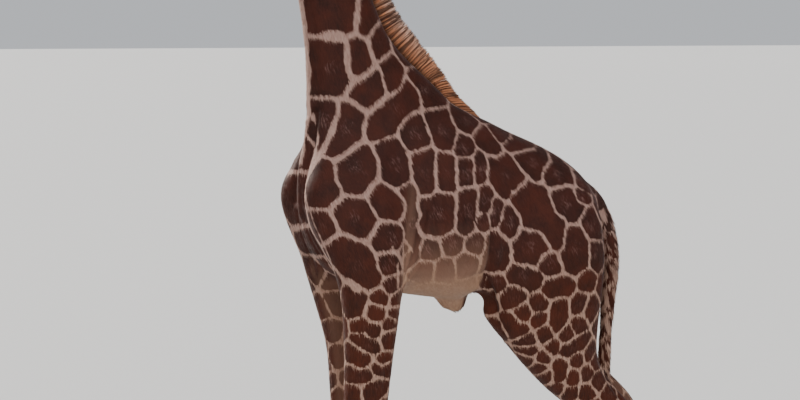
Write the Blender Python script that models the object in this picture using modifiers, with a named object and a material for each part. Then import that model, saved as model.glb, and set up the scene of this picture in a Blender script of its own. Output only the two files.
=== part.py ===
"""Reticulated giraffe, standing, life size.

The animal faces -Y with its left side on +X and its soles at z = 0. The flesh is
lofted from level rings (neck, legs), upright rings (trunk) and rings square to the
muzzle (head), fused into one body, and parted again with thin cuts.
"""
import math

import bmesh
import bpy
import numpy as np
from mathutils import Matrix, Vector

# Driving dimensions, in metres.
GAP = 0.0003                   # clearance between neighbouring pieces
FUSE_VOXEL = 0.02              # grain at which the lofts are fused
FLESH_TRIANGLES = 4450         # of the fused body, before it is parted
FORE_SET_BACK = 0.14           # how far the right forefoot stands behind the left
HIND_SET_BACK = 0.27           # the same for the right hind foot
FORE_LEAN_TOP = 2.05           # height at which the right foreleg starts to lean back
HIND_LEAN_TOP = 2.35
HEAD_ORIGIN = Vector((0.0, -0.985, 4.70))
HEAD_DROP = math.radians(33)   # the face's slope below level
HOOF_HEIGHT = 0.105
CLEFT = 0.012                  # between the two claws of a foot
FOOT_X = 0.20
FORE_FOOT_Y = -0.539
HIND_FOOT_Y = 1.168
EYE_RADIUS = 0.024
EYE_SEAT = (0.094, 0.222, 0.044)       # across, along the face, above its line
OSSICONE_SEAT = (0.042, 0.085, 0.085)
OSSICONE_LENGTH = 0.185                # with the part set in the skull
EAR_SEAT = (0.072, 0.010, 0.040)
EAR_LENGTH = 0.225
EAR_THICKNESS = 0.006
MANE_ROOT = 0.02                       # depth of the mane's foot in the neck

# Rings of the trunk: y, belly z, back z, half width, height of the widest place,
# and the fullness above and below it (2 is an ellipse).
TRUNK = [
    (-0.790, 2.38, 2.64, 0.07, 2.50, 2.0, 2.0),
    (-0.760, 2.26, 2.76, 0.15, 2.46, 2.0, 2.0),
    (-0.670, 2.10, 2.87, 0.22, 2.40, 2.0, 2.0),
    (-0.500, 1.97, 2.94, 0.28, 2.32, 2.1, 2.0),
    (-0.250, 1.91, 2.985, 0.325, 2.30, 2.1, 2.1),
    (0.000, 1.865, 3.000, 0.362, 2.28, 2.0, 2.2),
    (0.180, 1.840, 2.975, 0.365, 2.26, 1.85, 2.2),
    (0.340, 1.87, 2.905, 0.342, 2.26, 1.85, 2.1),
    (0.520, 1.96, 2.820, 0.308, 2.28, 1.9, 2.0),
    (0.700, 2.03, 2.745, 0.282, 2.32, 1.95, 2.0),
    (0.860, 2.08, 2.665, 0.255, 2.32, 1.95, 2.0),
    (0.980, 2.12, 2.575, 0.205, 2.32, 2.0, 2.0),
    (1.060, 2.18, 2.470, 0.150, 2.32, 2.0, 2.0),
    (1.110, 2.26, 2.39, 0.060, 2.33, 2.0, 2.0),
]
# Rings of the neck: z, front y, back y, half width.
NECK = [
    (2.45, -0.74, -0.10, 0.230),
    (2.62, -0.765, -0.02, 0.240),
    (2.80, -0.755, 0.09, 0.226),
    (2.95, -0.745, 0.175, 0.203),
    (3.12, -0.750, 0.01, 0.184),
    (3.26, -0.755, -0.155, 0.174),
    (3.40, -0.768, -0.270, 0.166),
    (3.60, -0.800, -0.360, 0.155),
    (3.90, -0.870, -0.515, 0.140),
    (4.20, -0.965, -0.655, 0.126),
    (4.42, -1.045, -0.755, 0.115),
    (4.58, -1.085, -0.835, 0.107),
    (4.70, -1.070, -0.900, 0.090),
]
# Rings of a foreleg with its shoulder: z, front y, back y, inner x, outer x.
FORELEG = [
    (2.91, -0.40, -0.12, 0.02, 0.120),
    (2.82, -0.60, -0.06, 0.02, 0.200),
    (2.68, -0.750, -0.03, 0.02, 0.270),
    (2.52, -0.838, -0.05, 0.02, 0.318),
    (2.38, -0.818, -0.09, 0.03, 0.338),
    (2.24, -0.758, -0.14, 0.05, 0.348),
    (2.10, -0.690, -0.205, 0.08, 0.352),
    (1.95, -0.648, -0.265, 0.11, 0.350),
    (1.80, -0.632, -0.295, 0.13, 0.342),
    (1.60, -0.625, -0.322, 0.135, 0.325),
    (1.26, -0.620, -0.360, 0.130, 0.300),
    (1.08, -0.622, -0.376, 0.122, 0.295),
    (0.96, -0.628, -0.382, 0.115, 0.298),
    (0.85, -0.605, -0.402, 0.125, 0.280),
    (0.70, -0.578, -0.424, 0.138, 0.262),
    (0.45, -0.568, -0.433, 0.140, 0.260),
    (0.30, -0.570, -0.426, 0.134, 0.266),
    (0.22, -0.582, -0.412, 0.124, 0.276),
    (0.16, -0.597, -0.420, 0.126, 0.274),
    (0.09, -0.625, -0.443, 0.120, 0.280),
]
# Rings of a hind leg with its haunch, in the same order.
HINDLEG = [
    (2.62, 0.60, 0.88, 0.02, 0.150),
    (2.53, 0.44, 0.98, 0.02, 0.235),
    (2.38, 0.30, 1.045, 0.02, 0.305),
    (2.20, 0.230, 1.080, 0.02, 0.350),
    (2.00, 0.210, 1.078, 0.04, 0.365),
    (1.85, 0.220, 1.060, 0.05, 0.360),
    (1.72, 0.275, 1.045, 0.06, 0.348),
    (1.60, 0.400, 1.035, 0.07, 0.330),
    (1.45, 0.535, 1.050, 0.09, 0.305),
    (1.30, 0.685, 1.145, 0.105, 0.285),
    (1.18, 0.835, 1.265, 0.110, 0.278),
    (1.08, 0.955, 1.345, 0.112, 0.280),
    (0.98, 1.055, 1.370, 0.115, 0.278),
    (0.86, 1.110, 1.330, 0.125, 0.265),
    (0.70, 1.135, 1.300, 0.138, 0.252),
    (0.45, 1.145, 1.290, 0.140, 0.250),
    (0.30, 1.142, 1.295, 0.135, 0.255),
    (0.22, 1.125, 1.312, 0.126, 0.264),
    (0.16, 1.105, 1.300, 0.128, 0.262),
    (0.09, 1.075, 1.270, 0.122, 0.268),
]
# Rings of the head along the face: distance, crown, jaw, half width, fullness.
HEAD = [
    (-0.06, 0.03, -0.11, 0.060, 2.0),
    (0.00, 0.085, -0.15, 0.088, 2.1),
    (0.08, 0.118, -0.185, 0.103, 2.2),
    (0.16, 0.128, -0.205, 0.108, 2.2),
    (0.24, 0.125, -0.195, 0.104, 2.3),
    (0.33, 0.108, -0.165, 0.080, 2.3),
    (0.43, 0.080, -0.135, 0.062, 2.3),
    (0.53, 0.058, -0.118, 0.060, 2.4),
    (0.60, 0.046, -0.112, 0.064, 2.4),
    (0.655, 0.018, -0.102, 0.056, 2.3),
    (0.685, -0.022, -0.080, 0.034, 2.0),
]
# Rings of the dock and of the tail's tuft: y, z, half width, half depth.
DOCK = [
    (0.960, 2.490, 0.050, 0.050),
    (1.055, 2.430, 0.062, 0.057),
    (1.150, 2.310, 0.060, 0.052),
    (1.210, 2.150, 0.054, 0.046),
    (1.235, 1.970, 0.044, 0.040),
    (1.225, 1.700, 0.034, 0.032),
    (1.218, 1.400, 0.031, 0.030),
    (1.215, 1.170, 0.030, 0.029),
]
TUFT = [
    (1.215, 1.1697, 0.030, 0.029),
    (1.216, 1.080, 0.046, 0.044),
    (1.218, 0.950, 0.055, 0.052),
    (1.222, 0.820, 0.046, 0.044),
    (1.228, 0.720, 0.026, 0.025),
    (1.230, 0.660, 0.008, 0.008),
]
# Rings of the mane: y and z of its root on the crest, and height.
MANE = [
    (0.340, 2.880, 0.012),
    (0.245, 2.935, 0.045),
    (0.130, 3.005, 0.080),
    (0.005, 3.120, 0.112),
    (-0.155, 3.258, 0.145),
    (-0.270, 3.400, 0.135),
    (-0.360, 3.600, 0.115),
    (-0.515, 3.900, 0.110),
    (-0.655, 4.200, 0.105),
    (-0.755, 4.420, 0.100),
    (-0.840, 4.600, 0.090),
    (-0.905, 4.745, 0.055),
]
# Rings of a hoof about its foot's middle: z, toe y, heel y, half width.
HOOF = [
    (0.000, -0.145, 0.115, 0.108),
    (0.022, -0.141, 0.115, 0.107),
    (0.060, -0.114, 0.108, 0.095),
    (HOOF_HEIGHT, -0.080, 0.094, 0.081),
]
# An ear from its base to its tip: half width, and half the angle of its curl.
EAR = [
    (0.026, 100.0),
    (0.044, 78.0),
    (0.055, 60.0),
    (0.056, 50.0),
    (0.047, 42.0),
    (0.030, 36.0),
    (0.008, 30.0),
]
# An ossicone from its tip to its foot: radius, and share of its length.
OSSICONE = [
    (0.0, 1.0), (0.014, 0.99), (0.025, 0.955), (0.0295, 0.90), (0.0285, 0.84), (0.0235, 0.72),
    (0.0225, 0.55), (0.026, 0.36), (0.033, 0.16), (0.036, 0.0), (0.0, 0.0),
]
# Outlines of the cutters that part the head and the neck (y, z) and a leg (x, z),
# and how far a foreleg's and a hind leg's cutter reach along Y.
HEAD_PART = [
    (-1.20, 4.40), (-0.70, 4.78), (-0.90, 5.30), (-1.90, 5.30), (-1.90, 4.00), (-1.40, 4.00),
]
NECK_PART = [(-1.10, 2.705), (0.60, 3.165), (0.60, 5.40), (-2.00, 5.40), (-2.00, 2.705)]
LEG_PART = [(0.02, -0.10), (0.02, 1.835), (0.09, 1.870), (0.42, 2.06), (0.70, 2.06), (0.70, -0.10)]
FORE_REACH = (-1.10, 0.02)
HIND_REACH = (0.17, 1.90)
# Swellings on the skull: middle (across, along, up) and radii in the same order.
SKULL_SWELLINGS = {
    "boss": ((0, 0.225, 0.108), (0.038, 0.075, 0.040)),
    "chin": ((0, 0.625, -0.098), (0.040, 0.055, 0.030)),
}
SIDE_SWELLINGS = {
    "brow": ((0.070, 0.215, 0.062), (0.050, 0.064, 0.044)),
    "cheek": ((0.050, 0.17, -0.115), (0.050, 0.105, 0.075)),
    "nostril": ((0.034, 0.605, 0.0), (0.034, 0.052, 0.044)),
}
SHEATH = ((0, 0.20, 1.855), (0.032, 0.075, 0.060))
LEG_FULLNESS = 2.2             # of the legs' rings
CLAW_FULLNESS = 2.5
FORWARD_EAR = 0.018            # how far the ear's middle bows forwards
SMOOTH_ROUNDS = 3              # over the whole fused body
BROAD_ROUNDS = 22              # over trunk and neck's base


# Rings and lofts

def through(rows, steps):
    """Rows of numbers read off a smooth curve through the given rows."""
    keys = np.array(rows, dtype=float)
    last = len(keys) - 1
    out = []
    for at in np.linspace(0.0, last, last * steps + 1):
        i = min(int(at), last - 1)
        t = at - i
        a = keys[max(i - 1, 0)]
        b = keys[i]
        c = keys[i + 1]
        d = keys[min(i + 2, last)]
        out.append(0.5 * (2 * b + (c - a) * t + (2 * a - 5 * b + 4 * c - d) * t ** 2
                          + (3 * b - a - 3 * c + d) * t ** 3))
    return out


def oval(count, fullness=2.0, lower_fullness=None):
    """Unit points round a superellipse: across, and up."""
    pairs = []
    for k in range(count):
        angle = 2 * math.pi * k / count
        c = math.cos(angle)
        s = math.sin(angle)
        power = 2 / (fullness if s >= 0 or lower_fullness is None else lower_fullness)
        pairs.append((math.copysign(abs(c) ** power, c), math.copysign(abs(s) ** power, s)))
    return pairs


def level_ring(z, front, back, inner, outer, lean=0.0, fullness=2.0, count=28):
    """A ring in a level plane, for the upright legs and neck."""
    x = (inner + outer) / 2
    y = (front + back) / 2 + lean
    return [Vector((x + p * (outer - inner) / 2, y + q * (back - front) / 2, z))
            for p, q in oval(count, fullness)]


def upright_ring(y, belly, back, half, wide, above, below, count=36):
    """A ring in an upright plane across the trunk."""
    return [Vector((p * half, y, wide + q * ((back - wide) if q >= 0 else (wide - belly))))
            for p, q in oval(count, above, below)]


def head_frame():
    """Unit vectors along the face, and up out of the forehead."""
    along = Vector((0.0, -math.cos(HEAD_DROP), -math.sin(HEAD_DROP)))
    crown = Vector((0.0, -math.sin(HEAD_DROP), math.cos(HEAD_DROP)))
    return along, crown


def head_point(x, distance, height):
    """A point given across, along and above the head's own line."""
    along, crown = head_frame()
    return HEAD_ORIGIN + Vector((x, 0, 0)) + along * distance + crown * height


def head_ring(distance, top, jaw, half, fullness, count=28):
    """A ring square to the face."""
    middle = (top + jaw) / 2
    return [head_point(p * half, distance, middle + q * (top - jaw) / 2)
            for p, q in oval(count, fullness)]


def tube_rings(rows, steps, count=16):
    """Rings square to a line in the middle plane: y, z, half width, half depth."""
    path = through(rows, steps)
    rings = []
    for i, (y, z, half, deep) in enumerate(path):
        before = path[max(i - 1, 0)]
        after = path[min(i + 1, len(path) - 1)]
        way = Vector((0, after[0] - before[0], after[1] - before[1])).normalized()
        out = Vector((0, -way.z, way.y))
        rings.append([Vector((0, y, z)) + Vector((p * half, 0, 0)) + out * (q * deep)
                      for p, q in oval(count)])
    return rings


def loft(name, rings, collection):
    """A closed body through rings of equal counts, capped at both ends."""
    bm = bmesh.new()
    rows = [[bm.verts.new(point) for point in ring] for ring in rings]
    count = len(rows[0])
    for low, high in zip(rows, rows[1:]):
        for k in range(count):
            n = (k + 1) % count
            bm.faces.new((low[k], low[n], high[n], high[k]))
    bm.faces.new(rows[0][::-1])
    bm.faces.new(rows[-1])
    bmesh.ops.recalc_face_normals(bm, faces=bm.faces)
    bmesh.ops.triangulate(bm, faces=bm.faces)
    mesh = bpy.data.meshes.new(name)
    bm.to_mesh(mesh)
    bm.free()
    obj = bpy.data.objects.new(name, mesh)
    collection.objects.link(obj)
    return obj


# Tools on whole objects

def new_collection(name):
    """A collection linked to the scene."""
    collection = bpy.data.collections.new(name)
    bpy.context.scene.collection.children.link(collection)
    return collection


def evaluated_mesh(obj):
    """The object's mesh with its modifiers applied."""
    graph = bpy.context.evaluated_depsgraph_get()
    return bpy.data.meshes.new_from_object(obj.evaluated_get(graph))


def settle(obj):
    """Applies every modifier of the object."""
    bpy.context.view_layer.update()
    mesh = evaluated_mesh(obj)
    obj.modifiers.clear()
    obj.data = mesh
    return obj


def join(name, objects, collection):
    """One object made of all the given meshes, which are removed."""
    bm = bmesh.new()
    for obj in objects:
        bm.from_mesh(obj.data)
        bpy.data.objects.remove(obj)
    mesh = bpy.data.meshes.new(name)
    bm.to_mesh(mesh)
    bm.free()
    joined = bpy.data.objects.new(name, mesh)
    collection.objects.link(joined)
    return joined


def prism(name, outline, start, end, collection):
    """A cutter: an outline of (x, z) points drawn out along Y."""
    rings = [[Vector((x, y, z)) for x, z in outline] for y in (start, end)]
    obj = loft(name, rings, collection)
    obj.hide_render = True
    obj.display_type = "WIRE"
    return obj


def side_slab(name, outline, half, collection):
    """A cutter: an outline of (y, z) points drawn out across the animal."""
    rings = [[Vector((x, y, z)) for y, z in outline] for x in (-half, half)]
    obj = loft(name, rings, collection)
    obj.hide_render = True
    obj.display_type = "WIRE"
    return obj


def swollen(obj, collection):
    """A cutter a gap larger than the object all round."""
    cutter = bpy.data.objects.new(obj.name + "_clear", obj.data.copy())
    collection.objects.link(cutter)
    grow = cutter.modifiers.new("Grow", "DISPLACE")
    grow.strength = GAP
    grow.mid_level = 0.0
    settle(cutter)
    cutter.hide_render = True
    cutter.display_type = "WIRE"
    return cutter


def cut(obj, cutter, operation):
    """Keeps what is inside the cutter, or what is outside it."""
    boolean = obj.modifiers.new("Cut", "BOOLEAN")
    boolean.operation = operation
    boolean.object = cutter
    boolean.solver = "EXACT"
    settle(obj)


def copy_of(obj, name, collection):
    """A new object with a copy of the mesh."""
    twin = bpy.data.objects.new(name, obj.data.copy())
    collection.objects.link(twin)
    return twin


def paint(obj, name, hex_colour, roughness):
    """Gives the object its one material."""
    material = bpy.data.materials.get(name)
    if material is None:
        material = bpy.data.materials.new(name)
        material.use_nodes = True
        shader = material.node_tree.nodes["Principled BSDF"]
        channels = [int(hex_colour[i:i + 2], 16) / 255 for i in (1, 3, 5)]
        linear = [((c + 0.055) / 1.055) ** 2.4 if c > 0.04045 else c / 12.92 for c in channels]
        shader.inputs["Base Color"].default_value = (*linear, 1.0)
        shader.inputs["Roughness"].default_value = roughness
        shader.inputs["Metallic"].default_value = 0.0
    obj.data.materials.clear()
    obj.data.materials.append(material)
    return obj


# The flesh

def lean_of(z, set_back, top):
    """How far a set-back leg has moved backwards at this height."""
    drop = max(0.0, min(1.0, (top - z) / 0.55))
    eased = drop * drop * (3 - 2 * drop)
    return set_back * (0.62 * eased + 0.38 * max(0.0, (top - z) / top))


def leg_rings(rows, side, set_back, top):
    """A leg's rings on one side of the body."""
    rings = []
    for z, front, back, inner, outer in through(rows, 3):
        ring = level_ring(z, front, back, inner, outer, lean_of(z, set_back, top),
                          LEG_FULLNESS)
        rings.append([Vector((side * p.x, p.y, p.z)) for p in ring])
    return rings


def ball(name, centre, radii, collection, segments=20, rings=12):
    """An ellipsoid in the head's frame: across, along and up radii."""
    along, crown = head_frame()
    bm = bmesh.new()
    bmesh.ops.create_uvsphere(bm, u_segments=segments, v_segments=rings, radius=1.0)
    frame = Matrix((Vector((radii[0], 0, 0)), along * -radii[1], crown * radii[2])).transposed()
    bmesh.ops.transform(bm, matrix=Matrix.Translation(centre) @ frame.to_4x4(), verts=bm.verts)
    mesh = bpy.data.meshes.new(name)
    bm.to_mesh(mesh)
    bm.free()
    obj = bpy.data.objects.new(name, mesh)
    collection.objects.link(obj)
    return obj


def flesh_lofts(collection):
    """The overlapping forms of trunk, neck, head and legs."""
    lofts = [
        loft("trunk_loft", [upright_ring(*row) for row in through(TRUNK, 3)], collection),
        loft("neck_loft", [level_ring(z, front, back, -half, half)
                           for z, front, back, half in through(NECK, 3)], collection),
        loft("head_loft", [head_ring(*row) for row in through(HEAD, 3)], collection),
        ball("sheath", Vector(SHEATH[0]), SHEATH[1], collection),
    ]
    for name, (middle, radii) in SKULL_SWELLINGS.items():
        lofts.append(ball(name, head_point(*middle), radii, collection))
    for side, name, fore_back, hind_back in ((1, "left", 0, 0),
                                             (-1, "right", FORE_SET_BACK, HIND_SET_BACK)):
        fore = leg_rings(FORELEG, side, fore_back, FORE_LEAN_TOP)
        hind = leg_rings(HINDLEG, side, hind_back, HIND_LEAN_TOP)
        lofts += [
            loft("fore_" + name, fore, collection),
            loft("hind_" + name, hind, collection),
        ]
        for part, ((x, along, up), radii) in SIDE_SWELLINGS.items():
            lofts.append(ball(f"{part}_{name}", head_point(side * x, along, up), radii, collection))
    return lofts


def ease(obj, name, weight, rounds):
    """Smooths the places where weight(point) is above nought."""
    group = obj.vertex_groups.new(name=name)
    for vertex in obj.data.vertices:
        group.add([vertex.index], weight(vertex.co), "REPLACE")
    smooth = obj.modifiers.new(name, "SMOOTH")
    smooth.factor = 0.5
    smooth.iterations = rounds
    smooth.vertex_group = name
    settle(obj)
    obj.vertex_groups.clear()


def thick_parts(point):
    """1 on the trunk and the neck's base, fading out down the legs and up the neck."""
    low = min(1.0, max(0.0, (point.z - 1.80) / 0.25))
    high = min(1.0, max(0.0, (4.20 - point.z) / 1.0))
    return low * high


def fuse(objects, collection):
    """One smooth closed body from the overlapping lofts."""
    flesh = join("flesh", objects, collection)
    remesh = flesh.modifiers.new("Fuse", "REMESH")
    remesh.mode = "VOXEL"
    remesh.voxel_size = FUSE_VOXEL
    settle(flesh)
    ease(flesh, "Whole", lambda point: 1.0, SMOOTH_ROUNDS)
    ease(flesh, "Broad", thick_parts, BROAD_ROUNDS)
    flesh.data.calc_loop_triangles()
    thin = flesh.modifiers.new("Thin", "DECIMATE")
    thin.ratio = FLESH_TRIANGLES / len(flesh.data.loop_triangles)
    return settle(flesh)


# Pieces of their own

def make_eye(side, name, collection):
    """An eyeball."""
    x, along, up = EYE_SEAT
    eye = ball("eye_" + name, head_point(side * x, along, up), (EYE_RADIUS,) * 3,
               collection, 12, 8)
    return paint(eye, "eye", "#1a0f0a", 0.08)


def make_ossicone(side, name, collection):
    """A horn: a turned knob-ended stem, leaning back from the skull."""
    mesh = bpy.data.meshes.new("ossicone_" + name)
    points = [(r, 0, z * OSSICONE_LENGTH) for r, z in OSSICONE]
    mesh.from_pydata(points, [(i, i + 1) for i in range(len(points) - 1)], [])
    horn = bpy.data.objects.new("ossicone_" + name, mesh)
    collection.objects.link(horn)
    screw = horn.modifiers.new("Turn", "SCREW")
    screw.steps = 12
    screw.render_steps = 12
    screw.use_merge_vertices = True
    screw.merge_threshold = 0.0001
    settle(horn)
    along, crown = head_frame()
    way = (crown - along * 0.42 + Vector((side * 0.16, 0, 0))).normalized()
    turn = way.to_track_quat("Z", "Y").to_matrix().to_4x4()
    x, distance, up = OSSICONE_SEAT
    horn.data.transform(Matrix.Translation(head_point(side * x, distance, up)) @ turn)
    outward(horn)
    return paint(horn, "horn_skin", "#4a3020", 0.7)


def outward(obj):
    """Turns every face of a closed mesh outwards."""
    bm = bmesh.new()
    bm.from_mesh(obj.data)
    bmesh.ops.remove_doubles(bm, verts=bm.verts, dist=0.00001)
    bmesh.ops.recalc_face_normals(bm, faces=bm.faces)
    bm.to_mesh(obj.data)
    bm.free()


def make_ear(side, name, collection):
    """A curled leaf, opening forwards, from a narrow base to a blunt point."""
    along, crown = head_frame()
    way = (Vector((side * 0.80, 0, 0)) - along * 0.30 + crown * 0.42).normalized()
    face = (along + Vector((side * 0.25, 0, 0)) + crown * 0.1)
    face = (face - way * face.dot(way)).normalized()
    across = way.cross(face)
    x, distance, up = EAR_SEAT
    base = head_point(side * x, distance, up)
    rings = []
    rows = through(EAR, 1)
    for i, (half, curl) in enumerate(rows):
        t = i / (len(rows) - 1)
        limit = math.radians(curl)
        radius = half / math.sin(min(limit, math.pi / 2))
        thick = EAR_THICKNESS * (1.15 - 0.55 * t) / 2
        middle = base + way * (EAR_LENGTH * t) + face * (FORWARD_EAR * math.sin(math.pi * t))
        ring = []
        for sign in (-1, 1):
            for k in range(7):
                angle = -sign * limit * (1 - k / 3)
                r = radius - sign * thick
                ring.append(middle + across * (r * math.sin(angle))
                            + face * (radius - r * math.cos(angle)))
        rings.append(ring)
    ear = loft("ear_" + name, rings, collection)
    return paint(ear, "coat", "#5a3423", 0.8)


def make_mane(collection):
    """The standing mane: a thin ridge along the crest of the neck."""
    rows = through(MANE, 1)
    rings = []
    for i, (y, z, height) in enumerate(rows):
        before = rows[max(i - 1, 0)]
        after = rows[min(i + 1, len(rows) - 1)]
        way = Vector((0, after[0] - before[0], after[1] - before[1])).normalized()
        out = Vector((0, way.z, -way.y))
        root = Vector((0, y, z)) - out * MANE_ROOT
        tall = height + MANE_ROOT
        half = 0.010 + 0.16 * height
        ring = [root + Vector((p * half * (1 - 0.45 * (q + 1) / 2), 0, 0)) + out * ((q + 1) / 2 * tall)
                for p, q in oval(10, 2.6)]
        rings.append(ring)
    mane = loft("mane", rings, collection)
    return paint(mane, "mane", "#8a4526", 0.85)


def make_tail(collection):
    """The dock, and the tuft hanging from its end."""
    dock = loft("tail", tube_rings(DOCK, 2, 12), collection)
    tuft = loft("tail_tuft", tube_rings(TUFT, 2, 10), collection)
    paint(tuft, "tuft", "#1c1210", 0.8)
    return paint(dock, "coat", "#5a3423", 0.8), tuft


def make_claws(foot, side, foot_y, collection):
    """The two claws of one foot, parted by the cleft."""
    claws = []
    for part, sign in (("outer", 1), ("inner", -1)):
        rings = [[Vector((side * (FOOT_X + sign * p.x), p.y, p.z))
                  for p in level_ring(z, toe, heel, CLEFT / 2, half, foot_y, CLAW_FULLNESS, 14)]
                 for z, toe, heel, half in HOOF]
        claw = loft(f"hoof_{foot}_{part}", rings, collection)
        claws.append(paint(claw, "hoof", "#2b2019", 0.55))
    return claws


# Parting the flesh

def part_flesh(flesh, parts, cutters):
    """Divides the fused flesh into trunk, neck, head and four legs."""
    head_box = side_slab("head_part", HEAD_PART, 0.5, cutters)
    head_clear = swollen(head_box, cutters)
    neck_box = side_slab("neck_part", NECK_PART, 0.6, cutters)
    neck_clear = swollen(neck_box, cutters)
    head = copy_of(flesh, "head", parts)
    cut(head, head_box, "INTERSECT")
    neck = copy_of(flesh, "neck", parts)
    cut(neck, neck_box, "INTERSECT")
    cut(neck, head_clear, "DIFFERENCE")
    trunk = copy_of(flesh, "trunk", parts)
    cut(trunk, neck_clear, "DIFFERENCE")
    legs = []
    for side, name in ((1, "left"), (-1, "right")):
        for end, reach in (("front", FORE_REACH), ("hind", HIND_REACH)):
            outline = [(side * x, z) for x, z in LEG_PART]
            box = prism(f"{end}_{name}_part", outline, *reach, cutters)
            leg = copy_of(flesh, f"leg_{end}_{name}", parts)
            cut(leg, box, "INTERSECT")
            cut(trunk, swollen(box, cutters), "DIFFERENCE")
            legs.append(leg)
    floor = side_slab("hoof_level", [(-2, -0.5), (2, -0.5), (2, HOOF_HEIGHT + GAP),
                                     (-2, HOOF_HEIGHT + GAP)], 1.0, cutters)
    for leg in legs:
        cut(leg, floor, "DIFFERENCE")
    bpy.data.objects.remove(flesh)
    for obj in (head, neck, trunk, *legs):
        paint(obj, "coat", "#5a3423", 0.8)
    return head, neck, trunk


def keep_largest(obj):
    """Drops crumbs that a cut left loose."""
    bm = bmesh.new()
    bm.from_mesh(obj.data)
    unseen = set(bm.faces)
    shells = []
    while unseen:
        stack = [unseen.pop()]
        shell = list(stack)
        while stack:
            face = stack.pop()
            for edge in face.edges:
                for other in edge.link_faces:
                    if other in unseen:
                        unseen.remove(other)
                        stack.append(other)
                        shell.append(other)
        shells.append(shell)
    shells.sort(key=len)
    for shell in shells[:-1]:
        bmesh.ops.delete(bm, geom=shell, context="FACES")
    loose = [v for v in bm.verts if not v.link_faces]
    bmesh.ops.delete(bm, geom=loose, context="VERTS")
    bm.to_mesh(obj.data)
    bm.free()


def centre(parts):
    """Moves the animal so that its bounding box stands centred on the origin."""
    corners = [obj.matrix_world @ v.co for obj in parts.objects for v in obj.data.vertices]
    middle = (max(p.y for p in corners) + min(p.y for p in corners)) / 2
    for obj in parts.objects:
        obj.data.transform(Matrix.Translation((0, -middle, 0)))


def build():
    """Makes every node."""
    for obj in list(bpy.data.objects):
        bpy.data.objects.remove(obj)
    parts = new_collection("giraffe")
    cutters = new_collection("cutters")
    flesh = fuse(flesh_lofts(parts), parts)
    head, neck, trunk = part_flesh(flesh, parts, cutters)
    mane = make_mane(parts)
    dock, tuft = make_tail(parts)
    for obj in (neck, trunk, head):
        cut(obj, swollen(mane, cutters), "DIFFERENCE")
    cut(trunk, swollen(dock, cutters), "DIFFERENCE")
    cut(tuft, swollen(dock, cutters), "DIFFERENCE")
    for side, name in ((1, "left"), (-1, "right")):
        set_in = [make_eye(side, name, parts), make_ossicone(side, name, parts),
                  make_ear(side, name, parts)]
        for piece in set_in:
            cut(head, swollen(piece, cutters), "DIFFERENCE")
        make_claws("front_" + name, side,
                   FORE_FOOT_Y + (lean_of(0.1, FORE_SET_BACK, FORE_LEAN_TOP) if side < 0 else 0), parts)
        make_claws("hind_" + name, side,
                   HIND_FOOT_Y + (lean_of(0.1, HIND_SET_BACK, HIND_LEAN_TOP) if side < 0 else 0), parts)
    for obj in parts.objects:
        keep_largest(obj)
    centre(parts)


build()
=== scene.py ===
import math

import bmesh
import bpy
import numpy as np
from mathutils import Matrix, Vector
from mathutils.bvhtree import BVHTree


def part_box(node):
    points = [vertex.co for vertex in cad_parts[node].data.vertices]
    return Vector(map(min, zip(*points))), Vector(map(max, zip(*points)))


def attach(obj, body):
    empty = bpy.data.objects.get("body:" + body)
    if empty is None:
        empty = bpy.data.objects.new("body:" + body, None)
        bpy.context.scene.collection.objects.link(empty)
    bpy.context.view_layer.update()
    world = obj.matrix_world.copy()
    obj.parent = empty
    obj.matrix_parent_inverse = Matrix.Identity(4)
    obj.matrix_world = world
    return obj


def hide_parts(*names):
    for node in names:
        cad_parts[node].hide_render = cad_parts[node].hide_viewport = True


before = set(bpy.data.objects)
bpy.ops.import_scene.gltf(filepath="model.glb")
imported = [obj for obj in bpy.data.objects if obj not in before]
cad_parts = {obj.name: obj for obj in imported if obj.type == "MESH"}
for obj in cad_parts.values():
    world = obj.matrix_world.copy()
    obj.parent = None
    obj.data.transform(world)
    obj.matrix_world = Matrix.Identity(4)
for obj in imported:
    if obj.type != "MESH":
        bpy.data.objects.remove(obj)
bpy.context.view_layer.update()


# The room: a camera at the height of the back, off the animal's left front, over a
# plain pale floor. Soft daylight comes from the left and behind, with a lower, harder
# light along the outline, a broad fill from the camera's side, and a pale sky.

def linear(code):
    """An sRGB hex colour as linear RGBA."""
    channels = [int(code[i:i + 2], 16) / 255 for i in (1, 3, 5)]
    return [((c + 0.055) / 1.055) ** 2.4 if c > 0.04045 else c / 12.92 for c in channels] + [1.0]


def put(tree, kind, *terms, links=None, out="", **settings):
    """A node's output. Its inputs are numbers or sockets, given in order or by name."""
    node = tree.nodes.new("ShaderNode" + kind)
    for key, value in settings.items():
        setattr(node, key, value)
    pairs = list(zip([socket for socket in node.inputs if socket.enabled], terms))
    pairs += [(node.inputs[key], value) for key, value in (links or {}).items()]
    for socket, value in pairs:
        if isinstance(value, bpy.types.NodeSocket):
            tree.links.new(value, socket)
        else:
            socket.default_value = value
    given = [socket for socket in node.outputs if socket.enabled and out in ("", socket.name)]
    return given[0] if given else None


def new_material(name):
    """An empty node material and its tree."""
    material = bpy.data.materials.new(name)
    material.use_nodes = True
    material.node_tree.nodes.clear()
    return material, material.node_tree


azimuth = math.radians(62)
back_way = Vector((math.sin(azimuth), -math.cos(azimuth), 0))
right_way = Vector((math.cos(azimuth), math.sin(azimuth), 0))
up_way = Vector((0, 0, 1))
camera_data = bpy.data.cameras.new("camera")
camera_data.sensor_width = 36
camera_data.lens = 77.9
camera_data.clip_end = 400
camera = bpy.data.objects.new("camera", camera_data)
bpy.context.scene.collection.objects.link(camera)
bpy.context.scene.camera = camera
camera.location = Vector((0, 0.175, 3.4)) + back_way * 10
aim = -back_way - right_way * 0.033 - up_way * 0.0983
camera.rotation_euler = aim.to_track_quat("-Z", "Y").to_euler()

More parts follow.
